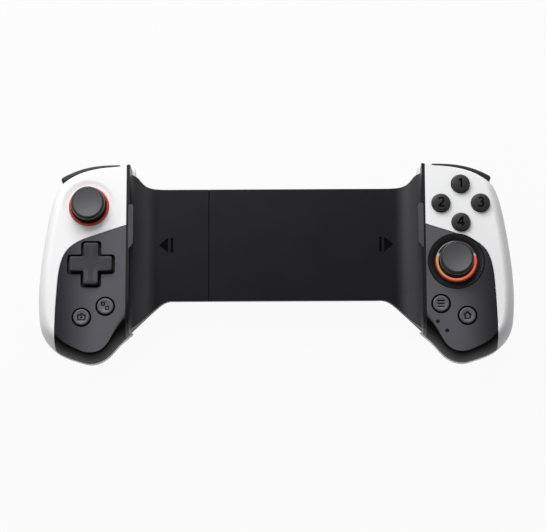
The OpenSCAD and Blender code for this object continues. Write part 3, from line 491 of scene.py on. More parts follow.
print("inside:", board_green.material.name, ribbon_film.material.name, gimbal.material.name)

# %% [markdown]
# ## From a mesh to a piece
# A piece is drawn once on the right and mirrored for the left, as the two halves of a tool would be. Here
# it is scaled to metres, shaded smooth with sharp edges kept, and given to the body that it moves with.
# Weighted normals let a large flat face keep its own direction, so that no dark streaks run over it.

# %% Finish a piece
def piece(name, mesh, side, body, finish, nodes=(), angle=32):
    mesh = mesh.copy()
    mesh.transform(Matrix.Translation((0, -MIDDLE_Y * MM, 0)) @ Matrix.Diagonal((side * MM, MM, MM, 1)))
    if side < 0:
        mesh.flip_normals()
    mesh.polygons.foreach_set("use_smooth", [True] * len(mesh.polygons))
    mesh.set_sharp_from_angle(angle=math.radians(angle))
    mesh.materials.clear()
    mesh.materials.append(finish.material)
    obj = bpy.data.objects.new(name, mesh)
    bpy.context.scene.collection.objects.link(obj)
    even = obj.modifiers.new("even_normals", "WEIGHTED_NORMAL")
    even.keep_sharp = True
    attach(obj, body)
    if nodes:
        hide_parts(*nodes)


def both_sides(name, mesh, body, finish, node, angle=32):
    for side, s in SIDES.items():
        piece(s + name, mesh, side, s + body, finish, [s + node], angle)


print("sides:", SIDES)

# %% [markdown]
# ## The grip as one smooth body
# A grip is a pebble: its outline is widest halfway up, rounds tightly to the face and generously to the
# palm. Rings of the outline are stacked from the back to the face, and each ring is drawn in towards a
# line along the palm. Later cuts divide this one body into front shell, face panel, rear shell and side
# frame, so their surfaces run on from piece to piece, as they do on the real object.

# %% Rings of the grip
SIDE_X = 70.4                                # inner face of a side frame
SHELL_X = 72.0                               # where the shells begin
GRIP_T, PART_Z, WALL, SEAM = 30.0, 17.4, 2.0, 0.12
HALF_T, PALM_ROUND, FACE_ROUND = 15, 15.5, 6
GRIP_KNOTS = [(-10, 49.4, 0.25), (4, 49.6, 0.3), (16, 48.6, 0.35), (25.5, 45.8, 0.45), (32.8, 41.3, 0.8),
              (36.6, 33, 1), (39.4, 19, 1), (41.8, 1, 1), (42.6, -16, 1), (40.8, -31, 1), (33.4, -40.2, 0.85),
              (23, -44.8, 0.65), (16, -46, 0.6), (9.5, -43.4, 0.5), (3, -36.6, 0.7), (-10, -22, 1.9),
              (-10, 2, 0), (-10, 27, 0)]


def grip_outline(steps):
    return [(SHELL_X + x, y, w) for x, y, w in closed_curve(GRIP_KNOTS, steps)]


def inwards(p, d):
    towards = np.array([SHELL_X + 20, min(30, max(-26, p[1]))]) - np.array(p[:2])
    return np.array(p[:2]) + towards / np.linalg.norm(towards) * d


def grip_body(step, steps, drawn_in=0.0):
    rings = []
    for a in np.radians(np.arange(-90, 90.1, step)):
        z = HALF_T + (HALF_T - drawn_in) * math.sin(a)
        turn = 1 - math.cos(a)
        rings.append([(*inwards(p, drawn_in + (PALM_ROUND if a < 0 else FACE_ROUND * p[2]) * turn), z)
                      for p in grip_outline(steps)])
    return skin(rings)


grip = grip_body(5, 10)
hollow = grip_body(15, 4, WALL)
print("grip body:", len(grip.polygons), "faces")

# %% [markdown]
# ## White front shell and charcoal face panel
# The two meet in an S-curve over the face. The cutter for the seam widens just above the face, which
# leaves a fine bevel on both sides of the joint, so the seam reads as a soft groove and not as a drawn
# line.

# %% Cut the front half along the S-curve
PANEL_KNOTS = [(-14, 24.3), (0, 19.4), (14, 14.8), (23.5, 11), (29, 6), (31.8, -2), (33, -15), (33.6, -30),
               (33.8, -54)]


def seam_cutter(shift, bevel):
    edge = np.array(open_curve(PANEL_KNOTS, 10)) + (SHELL_X, 0)
    along = np.gradient(edge, axis=0)
    across = np.stack([-along[:, 1], along[:, 0]], 1) / np.linalg.norm(along, axis=1)[:, None]
    rings = []
    for z, d in ((PART_Z - 1, shift), (GRIP_T - abs(bevel), shift), (GRIP_T + abs(bevel), shift + 2 * bevel)):
        line = edge + across * d
        rings.append([(x, y, z) for x, y in line] + [(SHELL_X - 14 + d, -54 + d, z)])
    return skin(rings)


front = keep_beyond(keep_beyond(grip, (0, 0, PART_Z), (0, 0, 1)), (SHELL_X, 0, 0), (1, 0, 0))
front = carve(front, hollow)
shell_blank = carve(front, seam_cutter(SEAM, 0.22))
panel_blank = carve(front, seam_cutter(0.0, -0.18), "INTERSECT")
print("shell", len(shell_blank.polygons), "panel", len(panel_blank.polygons), "faces")

# %% [markdown]
# ## Room for the bumpers
# The bumper is a bar along the shoulder, let into the shell. Its slot follows the outline at a fixed
# depth.

# %% A band along the shoulder
PIVOT = np.array([SHELL_X + 5.6, 46.4])
shoulder = [p for p in grip_outline(10) if p[1] > 36 and p[0] > SHELL_X - 2]


def band(out, depth, start, reach, low, high):
    line = [p for p in shoulder if p[0] > start and np.linalg.norm(np.array(p[:2]) - PIVOT) < reach]
    edge = [inwards(p, -out) for p in line] + [inwards(p, depth) for p in line[::-1]]
    return prism(edge, low, high)


shell_blank = carve(shell_blank, band(10, 5.4, SHELL_X + 3.1, 27.2, PART_Z - 1, 25.88))
print("shoulder slot cut, shell has", len(shell_blank.polygons), "faces")

# %% [markdown]
# ## Openings in the faces
# Buttons, direction pad, lights and sticks come through holes with a small lead-in bevel, as moulded holes
# have. The left stick sits in a shallow round dish of the white shell, and the right one in a black bezel.

# %% Hole cutters
CUT_FROM = 12                                # inside the hollow grip, where the cutters for the face start


def hole(at, r, bevel=0.15):
    low, high = GRIP_T - bevel, GRIP_T + bevel
    return lathe([(0, CUT_FROM), (r, CUT_FROM), (r, low), (r + 2 * bevel, high), (0, high)], at)


def dish(at, edge_r, depth, inner_r):
    run = edge_r - inner_r - 0.5
    slope = [(inner_r + 0.5 + run * u, GRIP_T - depth * (0.5 + 0.5 * math.cos(math.pi * u)))
             for u in np.linspace(0, 1, 9)]
    wall = [(0, CUT_FROM), (inner_r, CUT_FROM), (inner_r, GRIP_T - depth)]
    return lathe(wall + slope + [(edge_r + 0.4, GRIP_T + 0.5), (0, GRIP_T + 0.5)], at, 96)


def cross_outline(length, width, r_out, r_in, n=6):
    far, near = length / 2, width / 2
    corner = [(far, near, 0, r_out), (near, near, 1, r_in), (near, far, 0, r_out)]
    quarter = []
    for x, y, inner, r in corner:
        if inner:
            c, arc = (x + r, y + r), np.linspace(270, 180, n)
        else:
            c, arc = (x - r, y - r), np.linspace(0, 90, n)
        quarter += [(c[0] + r * math.cos(math.radians(a)), c[1] + r * math.sin(math.radians(a))) for a in arc]
    points = []
    for turn in range(4):
        s, c = (0, 1, 0, -1)[turn], (1, 0, -1, 0)[turn]
        points += [(x * c - y * s, x * s + y * c) for x, y in quarter]
    return points


FACE_AT = {"top": (89.0, 39.1), "left": (79.5, 29.6), "right": (98.5, 29.6), "bottom": (89.0, 20.1)}
SMALL_AT = {"menu": (78.8, -19.8), "home": (91.3, -25.6), "view": (81.5, -20.4), "capture": (92.8, -25.7)}
LIGHTS_AT = [(77.1, -28.4), (81.5, -32.9)]
DPAD_AT, DPAD_L, DPAD_W = (88.6, 0.2), 20.4, 7.2
print("cross outline:", len(cross_outline(DPAD_L, DPAD_W, 1.1, 0.7)), "points")

# %% Cut the shells and panels
BUTTON_HOLE_R, LIGHT_HOLE_R = 4.6, 0.85
WELL_R, BEZEL_ROOM_R, BEZEL_FLOOR = 11.6, 13.72, 28.6


def cross_ring(grow, z, r_out, r_in):
    outline = cross_outline(DPAD_L + 2 * grow, DPAD_W + 2 * grow, r_out, r_in)
    return [(DPAD_AT[0] + x, DPAD_AT[1] + y, z) for x, y in outline]


def button_holes(spots):
    return [hole(p, BUTTON_HOLE_R) for p in spots]


cross_hole = skin([cross_ring(grow, z, 1.5, 0.5)
                   for z, grow in ((CUT_FROM, 1.15), (GRIP_T - 0.15, 1.15), (GRIP_T + 0.15, 1.45))])
stick_well = lathe([(0, CUT_FROM), (WELL_R, CUT_FROM), (WELL_R, BEZEL_FLOOR), (BEZEL_ROOM_R, BEZEL_FLOOR),
                    (BEZEL_ROOM_R, GRIP_T + 1), (0, GRIP_T + 1)], STICKS[1], 96)
light_holes = [hole(p, LIGHT_HOLE_R, 0.08) for p in LIGHTS_AT]
right_shell = carve(shell_blank, together(*button_holes(FACE_AT.values())))
left_shell = carve(shell_blank, dish(STICKS[-1], 13.4, 0.5, 9.75))
right_panel = carve(panel_blank, together(*button_holes([SMALL_AT["menu"], SMALL_AT["home"]]), *light_holes,
                                          stick_well))
left_panel = carve(panel_blank, together(*button_holes([SMALL_AT["view"], SMALL_AT["capture"]]), cross_hole))
for side, shell, panel in ((1, right_shell, right_panel), (-1, left_shell, left_panel)):
    s = SIDES[side]
    piece(s + "_white_shell", shell, side, s + "_half", white, [s + "_front_shell"])
    piece(s + "_charcoal_panel", panel, side, s + "_half", charcoal, [s + "_face_panel"])
print("right shell:", len(right_shell.polygons), "faces, left panel:", len(left_panel.polygons))

# %% [markdown]
# ## Rear shell
# The palm side is one deep white cup. It is cut at the parting line, keeps a small ear beside the bridge,
# and opens for the trigger, the screws and, on the right, the charging socket. The screw columns end
# halfway into its wall: two faces in the same place would leave a Boolean in doubt.

# %% Cut the rear half
EAR_X, EAR_HIGH, EAR_LOW = SHELL_X - 3.2, 46.8, -31.1
FAR = 170
ears = [(EAR_X, EAR_HIGH), (SHELL_X, EAR_HIGH), (SHELL_X, EAR_LOW), (EAR_X, EAR_LOW), (EAR_X, -FAR),
        (FAR, -FAR), (FAR, FAR), (EAR_X, FAR)]


def block(x0, x1, y0, y1, z0, z1):
    return prism([(x0, y0), (x1, y0), (x1, y1), (x0, y1)], z0, z1)


rear = carve(grip, prism(ears, -5, PART_Z - SEAM), "INTERSECT")
ear_room = together(block(EAR_X - 1, SHELL_X + WALL, EAR_HIGH, FAR, -5, 60),
                    block(EAR_X - 1, SHELL_X + WALL, -FAR, EAR_LOW, -5, 60))
rear = carve(rear, carve(hollow, ear_room))
GRIP_SCREWS = [(76, 37.4), (103.8, 24), (102.6, -27), (86, -38)]
column_profile = [(0, 2), (3.2, 2), (3.2, 10.8), (0, 10.8)]
screw_profile = [(0, -1), (2.4, -1), (2.4, 7.8), (1.25, 7.8), (1.25, 12), (0, 12)]
half_wall = grip_body(15, 4, WALL / 2)
for p in GRIP_SCREWS:
    rear = carve(rear, carve(lathe(column_profile, p, 32), half_wall, "INTERSECT"), "UNION")
screw_holes = [lathe(screw_profile, p, 40) for p in GRIP_SCREWS]
finger_room = block(78.4, 95.6, 39.7, 90, -5, 30)
rear = carve(rear, together(finger_room, *screw_holes))
print("rear shell:", len(rear.polygons), "faces")

# %% Charging socket's slot, and both rear shells
SOCKET_X, SOCKET_Z = 96, 9.25


def stadium(w, h, n=10):
    r = h / 2
    turn = np.linspace(-math.pi / 2, math.pi / 2, n)
    right = [(w / 2 - r + r * math.cos(a), r * math.sin(a)) for a in turn]
    return right + [(-x, -y) for x, y in right]


slot_rings = [[(SOCKET_X + x, y, SOCKET_Z + z) for x, z in stadium(9.6, 3.9)] for y in (-60, -34)]
right_rear = carve(rear, skin(slot_rings))
piece("right_palm_shell", right_rear, 1, "right_half", white, ["right_rear_shell"])
piece("left_palm_shell", rear, -1, "left_half", white, ["left_rear_shell"])
print("palm shells made")

# %% [markdown]
# ## Side frames
# A thin black frame closes each grip towards the phone. It is a slice of the same body, which a plane cut
# gives at once. It is notched for the rear shell's ears, the lip and the tab of the bridge.

# %% Slice the frames
plate = keep_beyond(keep_beyond(grip, (SIDE_X, 0, 0), (1, 0, 0)), (SHELL_X, 0, 0), (-1, 0, 0))
upper_ear = block(60, 80, EAR_HIGH - 0.3, FAR, -5, PART_Z)
lower_ear = block(60, 80, -FAR, EAR_LOW + 0.3, -5, PART_Z)
lip_notch = block(60, 71.42, 7.88, 30.12, 25.98, 60)
tab_slot = block(60, 80, 0.45, 24.75, 8.5, 10.65)
side_frame = carve(plate, together(upper_ear, lower_ear, lip_notch, tab_slot))
both_sides("_grip_frame", side_frame, "_half", frame_black, "_side_frame")
print("side frames:", len(side_frame.polygons), "faces each")

# %% [markdown]
# ## Phone lips
# Each lip is a moulded strip with a long slanted lower end, which leads the phone in. Its edges are
# rounded by a bevel on the mesh itself.

# %% Bevelled strips
def rounded(mesh, width, segments=3, angle=30):
    bm = bmesh.new()
    bm.from_mesh(mesh)
    sharp = [e for e in bm.edges if len(e.link_faces) == 2 and e.calc_face_angle() > math.radians(angle)]
    bmesh.ops.bevel(bm, geom=sharp, offset=width, segments=segments, profile=0.5, affect="EDGES",
                    clamp_overlap=True)
    return as_mesh(bm)


lip_plan = [(71.3, 8), (70.4, 8), (68.5, 10.7), (68.5, 29.2), (69.3, 30), (71.3, 30)]
lip = rounded(prism(lip_plan, 26.1, 29.7), 0.35)
both_sides("_lip", lip, "_half", lip_rubber, "_phone_lip")
print("lips:", len(lip.polygons), "faces each")

# %% [markdown]
# ## Bridge covers
# The bridge is a flat cover that sweeps up into each side frame and flares out to meet the grip. A loft
# along its length does this: each section is a flat bar with rounded long edges, set at the height and
# between the edges that the sweep has there. The covers meet in a fine groove, where the last section is
# lowered a little.

# %% Height and edges of a wing
BRIDGE_Z, BRIDGE_LOW, BRIDGE_HIGH = 17.0, -15.2, 40.4
COVER_T, RAMP_L, RAMP_H = 2.4, 13.4, 8.0
SEAM_DROP = 0.9                              # depth of the groove between the covers
WING_TOP = open_curve([(-15.6, 0), (-10.6, 0.4), (-7.1, 1.5), (-4.9, 3.4), (-3.4, 5.1), (-1.7, 6),
                       (0, 6.1)], 8)
WING_LOW = open_curve([(-22.4, 0), (-17.4, -0.4), (-12, -4.1), (0, -15.6)], 10)


def wing_edges(x):
    top, low = np.array(WING_TOP), np.array(WING_LOW)
    return (BRIDGE_LOW + np.interp(x - SIDE_X, low[:, 0], low[:, 1]),
            BRIDGE_HIGH + np.interp(x - SIDE_X, top[:, 0], top[:, 1]))


def front_z(x):
    u = min(1, max(0, x - SIDE_X + RAMP_L) / RAMP_L)
    return BRIDGE_Z + RAMP_H * (1 - math.sqrt(max(0, 1 - u * u)))


def wing_section(x, drop, edge=0.45, n=5):
    low, high = wing_edges(x)
    top, back = front_z(x) - drop, front_z(x) - COVER_T
    turn = np.linspace(0, math.pi / 2, n)
    right = [(high - edge + edge * math.sin(a), top - edge + edge * math.cos(a)) for a in turn]
    left = [(low + edge - edge * math.cos(a), top - edge + edge * math.sin(a)) for a in turn]
    return [(x, y, z) for y, z in left + right + [(high, back + 0.2), (high - 0.2, back), (low + 0.2, back),
                                                  (low, back + 0.2)]]


def wing(inner_x):
    ramp = [SIDE_X - RAMP_L + RAMP_L * math.sin(a) for a in np.radians(np.arange(0, 90.1, 3))]
    plain = np.linspace(inner_x + 0.3, SIDE_X - 23, 8).tolist()
    flare = np.linspace(SIDE_X - 22.4, ramp[0] - 0.4, 14).tolist()
    return skin([wing_section(inner_x, SEAM_DROP)] + [wing_section(x, 0) for x in plain + flare + ramp])


print("front of the bridge climbs from", BRIDGE_Z, "to", front_z(SIDE_X), "mm")

# %% [markdown]
# The pull marks, an arrow and a bar, are sunk into the covers and filled with a darker ink.

# %% Pull marks
arrow = [(0, -3.7), (4.5, 0), (0, 3.7)]
bar = [(0, -3.7), (1.3, -3.7), (1.3, 3.7), (0, 3.7)]
BRIDGE_MID, MARK_X = (BRIDGE_LOW + BRIDGE_HIGH) / 2, SIDE_X - 20.5


def marks(low, high):
    return together(prism([(MARK_X + 2.5 + x, BRIDGE_MID + y) for x, y in arrow], low, high),
                    prism([(MARK_X + x, BRIDGE_MID + y) for x, y in bar], low, high))


for side, inner_x in ((1, -32.585), (-1, 32.615)):
    s = SIDES[side]
    cover = carve(wing(inner_x), marks(BRIDGE_Z - 0.4, BRIDGE_Z + 2))
    piece(s + "_cover", cover, side, s + "_half", bridge_black, [s + "_bridge_cover"])
    piece(s + "_pull_mark", marks(BRIDGE_Z - 0.6, BRIDGE_Z - 0.28), side, s + "_half", ink_black, ())
print("bridge covers with pull marks")

# %% [markdown]
# ## Sticks
# A stick cap is a rubber mushroom: hollow top, rolled edge, fine knurl and a bead, and under it a dome
# that closes the opening however far the stick tilts. All of it is one lathe, and the knurl is a small
# wave of its radius.

# %% Caps
def arc(middle, r, start, end, n=7):
    turn = np.radians(np.linspace(start, end, n))
    return [(middle[0] + r * math.cos(a), middle[1] + r * math.sin(a)) for a in turn]


def stick_cap(at):
    r, top, pivot_z = 8.2, 20.3, 18.0
    hollow_top = [(u * 6.8, top - 0.06 - 1.15 * (1 - u * u)) for u in np.linspace(0, 1, 11)]
    shoulder = arc((6.95, top - 1.05), 1.05, 88, 4, 9)
    bead = arc((r - 0.46, top - 2.75), 0.46, 65, -80, 9)
    dome = [(12 * math.sin(a), 12 * math.cos(a)) for a in np.radians(np.linspace(16.5, 66, 16))]
    under = [(10.9 * math.sin(a), 10.9 * math.cos(a)) for a in np.radians(np.linspace(66, 18, 10))]
    profile = hollow_top + shoulder + [(8.0, top - 1.2), (8.0, top - 2.1), (7.9, top - 2.3)] + bead
    profile += [(4.2, top - 4.0), (3.4, top - 4.7)] + dome + under + [(1.65, 10.4), (1.65, 17.6), (0, 17.6)]
    rings = []
    for pr, pz in profile:
        knurl = 0.05 if top - 2.2 < pz < top - 1.1 and pr > 7.95 else 0.0
        rings.append([(at[0] + (pr + knurl * math.cos(64 * t)) * math.cos(t),
                       at[1] + (pr + knurl * math.cos(64 * t)) * math.sin(t), pivot_z + pz)
                      for t in np.linspace(0, 2 * math.pi, 256, endpoint=False)])
    return skin(rings)


for side, s in SIDES.items():
    piece(s + "_rubber_cap", stick_cap(STICKS[side]), side, s + "_stick_cap", cap_finish[side],
          [s + "_stick_cap"], 40)
print("stick caps knurled")

# %% [markdown]
# ## Light rings and the right bezel
# A light ring is a clear dyed ring with a soft crown, pressed in from behind. The right stick also has a
# black bezel around it: a smooth shallow funnel let into the charcoal panel.

# %% Rings and bezel
RING_R, FOOT_R, RING_Z = 8.5, 11.1, 30.2


def ring_profile(outer):
    crown_line = [((RING_R + outer) / 2 + (outer - RING_R) / 2 * math.cos(a), RING_Z + 0.5 * math.sin(a))
                  for a in np.radians(np.linspace(15, 165, 9))]
    foot = [(RING_R, 26.8), (FOOT_R, 26.8), (FOOT_R, 27.5), (outer, 27.5), (outer, RING_Z)]
    return foot + crown_line + [(RING_R, RING_Z)]


for side, look, outer in ((1, ring_lit, 10.0), (-1, ring_red, 9.65)):
    s = SIDES[side]
    piece(s + "_light_ring", lathe(ring_profile(outer), STICKS[side], 120, True), side, s + "_half", look,
          [s + "_stick_ring"])
funnel = [(10.2 + 3.2 * u, 29.15 + 0.95 * (0.5 - 0.5 * math.cos(math.pi * u))) for u in np.linspace(0, 1, 12)]
bezel_profile = [(10.2, 28.7)] + funnel + [(13.55, 30.08), (13.66, 29.95), (13.66, 28.7)]
piece("right_stick_bezel", lathe(bezel_profile, STICKS[1], 120, True), 1, "right_half", bezel_black, ())
print("rings and bezel made")

# %% [markdown]
# ## Direction pad
# The cross has softly rounded arms, a rounded upper edge and a hollow towards its middle where the thumb
# rests. Rings of the same outline, each a little smaller, roll over the edge, and the hollow bends the
# inner ones down.

# %% Cross with a hollow
PAD_TOP, PAD_EDGE = 32.2, 0.55


def pad_ring(grow, z):
    return cross_ring(grow, z, max(0.2, 1.1 + grow), max(0.1, 0.7 - grow))


def thumb_hollow(x, y, z):
    if z < PAD_TOP - PAD_EDGE / 3:
        return z
    return z - max(0, 0.6 - math.hypot(x - DPAD_AT[0], y - DPAD_AT[1]) ** 2 / 110)


def pad_cross():
    low, e = PAD_TOP - PAD_EDGE, PAD_EDGE
    rings = [pad_ring(0, 25.6), pad_ring(0, low)]
    rings += [pad_ring(-e * (1 - math.cos(a)), low + e * math.sin(a)) for a in np.radians((22, 45, 68, 90))]
    rings += [pad_ring(-e - 0.35 * k, PAD_TOP) for k in range(1, 7)]
    return skin([[(x, y, thumb_hollow(x, y, z)) for x, y, z in loop] for loop in rings])


flange = lathe([(0, 25.5), (11.8, 25.5), (11.8, 26.3), (0, 26.3)], DPAD_AT)
piece("direction_pad", carve(pad_cross(), flange, "UNION"), -1, "dpad", pad_dark, ["dpad"],
      40)
print("direction pad made")

# %% [markdown]
# ## Buttons and their marks
# Buttons are short lathes with a rolled edge. The face buttons bulge, and the small ones are hollowed for
# the fingertip. Their marks are plain numerals and general signs, cut into the top and filled with black
# ink, which is how a two-shot moulding shows them. A text object could give the numerals, but a few
# ribbons of even width are bolder, stay closed and cut cleanly.

# %% Buttons
FACE_R, FACE_TOP = 4.3, 32.2
SMALL_R, SMALL_TOP = 3.9, 30.7


def button(at, r, top, crown):
    edge = 0.7
    turn = np.radians(np.linspace(0, 90, 7))
    roll = [(r - edge + edge * math.sin(a), top - edge + edge * math.cos(a)) for a in turn]
    cap = [(u * (r - edge), top + crown * (1 - u * u)) for u in np.linspace(0, 1, 8)]
    return lathe(cap[:-1] + roll + [(r, 25), (r + 0.7, 25), (r + 0.7, 24), (0, 24)], at, 80)


print("a face button:", len(button((0, 0), FACE_R, FACE_TOP, 0.2).polygons), "faces")

# %% Numerals from ribbons
def ribbon(at, line, width, low, high):
    line = np.array(line, float) + at
    along = np.gradient(line, axis=0)
    across = np.stack([-along[:, 1], along[:, 0]], 1) / np.linalg.norm(along, axis=1)[:, None] * width / 2
    return prism([tuple(q) for q in line + across] + [tuple(q) for q in (line - across)[::-1]], low, high)


STROKE = 0.86
BOWL_HIGH, BOWL_LOW, BOWL_TWO = ((0, 1.08), 1.05), ((0, -1.02), 1.2), ((0, 1.0), 1.2)
NUMERALS = {"1": [[(0.35, 2.35), (0.35, -2.3)], [(0.35, 2.0), (-0.95, 1.15)]],
            "2": [arc(*BOWL_TWO, 170, -42, 14) + [(-1.35, -2.05)], [(-1.55, -1.9), (1.5, -1.9)]],
            "3": [arc(*BOWL_HIGH, 155, -90, 14), arc(*BOWL_LOW, 90, -155, 14)],
            "4": [[(0.6, 2.35), (0.6, -2.3)], [(0.45, 2.2), (-1.55, -0.85)], [(-1.9, -0.95), (1.6, -0.95)]]}


def numeral(text, at, low, high):
    made, *others = [ribbon(at, line, STROKE, low, high) for line in NUMERALS[text]]
    for other in others:
        made = carve(made, other, "UNION")
    return made


print("strokes:", {text: len(lines) for text, lines in NUMERALS.items()})

# %% Face buttons
for count, (where, at) in enumerate(FACE_AT.items(), 1):
    body = "face_button_" + where
    shape = carve(button(at, FACE_R, FACE_TOP, 0.2), numeral(str(count), at, FACE_TOP - 0.2, FACE_TOP + 1))
    piece("button_" + where, shape, 1, body, button_dark, [body])
    ink = numeral(str(count), at, FACE_TOP - 0.4, FACE_TOP + 0.02)
    piece("mark_" + where, ink, 1, body, ink_black, ())
print("face buttons numbered 1 to 4")

# %% Signs for the small buttons
def frame_of(outer, inner, low, high):
    loops = ((outer, low), (outer, high), (inner, high), (inner, low))
    return skin([[(x, y, z) for x, y in loop] for loop, z in loops], True)


def box_line(cx, cy, w, h, t, low, high):
    corners = ((-1, -1), (1, -1), (1, 1), (-1, 1))
    loops = [[(cx + sx * (w / 2 - d), cy + sy * (h / 2 - d)) for sx, sy in corners] for d in (0, t)]
    return frame_of(*loops, low, high)


def sign(name, at, low, high):
    x, y = at
    if name == "menu":
        return together(*[block(x - 1.75, x + 1.75, y + d - 0.34, y + d + 0.34, low, high)
                          for d in (-1.4, 0, 1.4)])
    if name == "view":
        return together(box_line(x + 1.05, y + 1.1, 1.9, 1.9, 0.55, low, high),
                        box_line(x - 1.0, y - 1.0, 2.0, 2.0, 0.55, low, high))
    if name == "capture":
        lens_dot = lathe([(0, low), (0.6, low), (0.6, high), (0, high)], (x, y - 0.15), 24)
        return together(box_line(x, y - 0.15, 4.0, 2.9, 0.58, low, high), lens_dot,
                        block(x - 0.8, x + 0.8, y + 1.4, y + 1.9, low, high))
    roof = [(-2.2, 0.1), (0, 2.1), (2.2, 0.1), (1.5, 0.1), (1.5, -1.8), (-1.5, -1.8), (-1.5, 0.1)]
    room = [(-0.9, 0.3), (0, 1.15), (0.9, 0.3), (0.85, 0.12), (0.85, -1.2), (-0.85, -1.2), (-0.85, 0.12)]
    return frame_of([(x + a, y + b) for a, b in roof], [(x + a, y + b) for a, b in room], low, high)


for name, at in SMALL_AT.items():
    side, body = (1 if name in ("menu", "home") else -1), name + "_button"
    shape = carve(button(at, SMALL_R, SMALL_TOP, -0.4), sign(name, at, SMALL_TOP - 0.62, SMALL_TOP + 1))
    piece(name + "_cap", shape, side, body, button_grey, [body])
    ink = sign(name, at, SMALL_TOP - 0.9, SMALL_TOP - 0.41)
    piece(name + "_mark", ink, side, body, ink_black, ())
print("small buttons with signs:", ", ".join(SMALL_AT))

# %% [markdown]
# ## Bumpers and triggers
# A bumper is a bar along the shoulder with a generous outer rounding. The trigger behind it is a curved
# finger piece: its side view is a spline, carried across its width with rounded ends and fine ribs for the
# fingertip. It may not stand out far from the grip, so a soft limit holds it back: a hard one would fold
# the mesh onto itself. A hub around the pin joins it, and one stepped cutter makes the bore and the
# spring's room.

# %% Bumpers
def bumper():
    line = [p for p in grip_outline(40) if p[1] > 36 and p[0] > SHELL_X + 3.45
            and np.linalg.norm(np.array(p[:2]) - PIVOT) < 26.45]
    line = sorted(line, key=lambda p: p[0])
    run = [0.0]
    for a, b in zip(line, line[1:]):
        run.append(run[-1] + math.hypot(a[0] - b[0], a[1] - b[1]))
    low, high, out, depth = 17.6, 25.56, 1.66, 3.36
    quarter = np.linspace(0, math.pi / 2, 6)
    rings = []
    for p, t in zip(line, run):
        end = min(t, run[-1] - t)
        u = max(0.0, 1 - end / 1.4)
        fade = 1 - math.sqrt(max(0.0, 1 - u * u))
        o, lift = out - 1.9 * fade, 0.9 * fade
        r = 1.5 * (1 - 0.6 * fade)
        section = [(-o + r - r * math.sin(a), high - lift - r + r * math.cos(a)) for a in quarter]
        section += [(-o + r - r * math.cos(a), low + lift + r - r * math.sin(a)) for a in quarter]
        section += [(depth, low + lift), (depth, high - lift)]
        rings.append([(*inwards(p, d), z) for d, z in section])
    return skin(rings)


both_sides("_bumper_bar", bumper(), "_bumper", shoulder_dark, "_bumper", 40)
print("bumpers made")

# %% Side view of a trigger
TRIGGER_Y, TRIGGER_Z = 42.6, 11.2            # axis of the trigger's pin
FINGER_STEPS, RIBS, RIB_DEPTH = 20, 8, 0.22
FINGER = [(-0.6, 2.2), (2.6, 4), (6.6, 4.4), (8.2, 2.8), (8.5, -0.6), (7.6, -4.4), (5.8, -7.4), (4.1, -8.6),
          (2.9, -7.9), (3.6, -5), (3, -2.8), (-0.6, -2.2)]


def ribbed(points):
    from_k, to_k, made = 3 * FINGER_STEPS, 6 * FINGER_STEPS, []
    for k, q in enumerate(points):
        u = (k - from_k) / (to_k - from_k)
        wave = 0.5 - 0.5 * math.cos(2 * math.pi * RIBS * u) if 0 < u < 1 else 0.0
        inside = points.mean(0) - q
        made.append(q + inside / np.linalg.norm(inside) * RIB_DEPTH * wave)
    return np.array(made)


def along_x(steps, n=40):
    turn = np.linspace(0, 2 * math.pi, n, endpoint=False)
    return skin([[(x, TRIGGER_Y + r * math.cos(a), TRIGGER_Z + r * math.sin(a)) for a in turn]
                 for x, r in steps])


def soft_limit(value, limit, sharpness=2.5):
    return limit - math.log1p(math.exp(sharpness * (limit - value))) / sharpness


print("side view:", len(closed_curve(FINGER, FINGER_STEPS)), "points")

# %% Triggers
def trigger():
    plain = np.array(closed_curve(FINGER, FINGER_STEPS))
    grooved = ribbed(plain)
    middle = plain.mean(0)
    proud = sorted([tuple(inwards(p, -1.45)) for p in grip_outline(10) if p[1] > 36 and p[0] > SHELL_X])
    low, high = SHELL_X + 6.7, SHELL_X + 23.3
    rings = []
    end_r = 0.9
    ends = [end_r * (1 - math.cos(a)) for a in np.radians(np.linspace(0, 90, 5))]
    stations = [low + e for e in ends] + [low + 1.5] + np.linspace(low + 1.9, high - 1.9, 12).tolist()
    stations += [high - 1.5] + [high - e for e in ends[::-1]]
    for x in stations:
        inset = max(0.0, end_r - min(x - low, high - x))
        shrink = 1 - 0.16 * (1 - math.sqrt(max(0.0, 1 - (inset / end_r) ** 2)))
        limit = np.interp(x, [p[0] for p in proud], [p[1] for p in proud])
        view = grooved if low + 1.8 < x < high - 1.8 else plain
        loop = middle + (view - middle) * shrink
        reach = limit - (1 - shrink) * 4 - TRIGGER_Y
        rings.append([(x, TRIGGER_Y + soft_limit(y, reach), TRIGGER_Z + z) for y, z in loop])
    hub = along_x([(low + 2.5, 2.6), (high - 0.05, 2.6)])
    bore = along_x([(low - 1, 2.75), (low + 3, 2.75), (low + 3, 1.05), (high + 1, 1.05)])
    return carve(carve(skin(rings), hub, "UNION"), bore)


finger_shape = trigger()
both_sides("_trigger_finger", finger_shape, "_trigger", shoulder_dark, "_trigger", 40)
print("triggers:", len(finger_shape.polygons), "faces each")

# %% [markdown]
# ## Springs
# Two long springs under the covers draw the halves together, and a short one turns each trigger back. In
# the CAD model they are plain tubes. Here the wire is wound: a small circle is carried along a helix
# inside that tube.

# %% Wind the springs
def coil(start, length, outer_r, wire, turns, steps=18, sides=8):
    r, rings = outer_r - wire / 2, []
    for k in range(int(turns * steps) + 1):
        a = 2 * math.pi * k / steps
        x = start[0] + wire / 2 + (length - wire) * k / int(turns * steps)
        ring = []
        for b in np.linspace(0, 2 * math.pi, sides, endpoint=False):
            out = r + wire / 2 * math.cos(b)
            ring.append((x + wire / 2 * math.sin(b), start[1] + out * math.cos(a),
                         start[2] + out * math.sin(a)))
        rings.append(ring)
    return skin(rings)


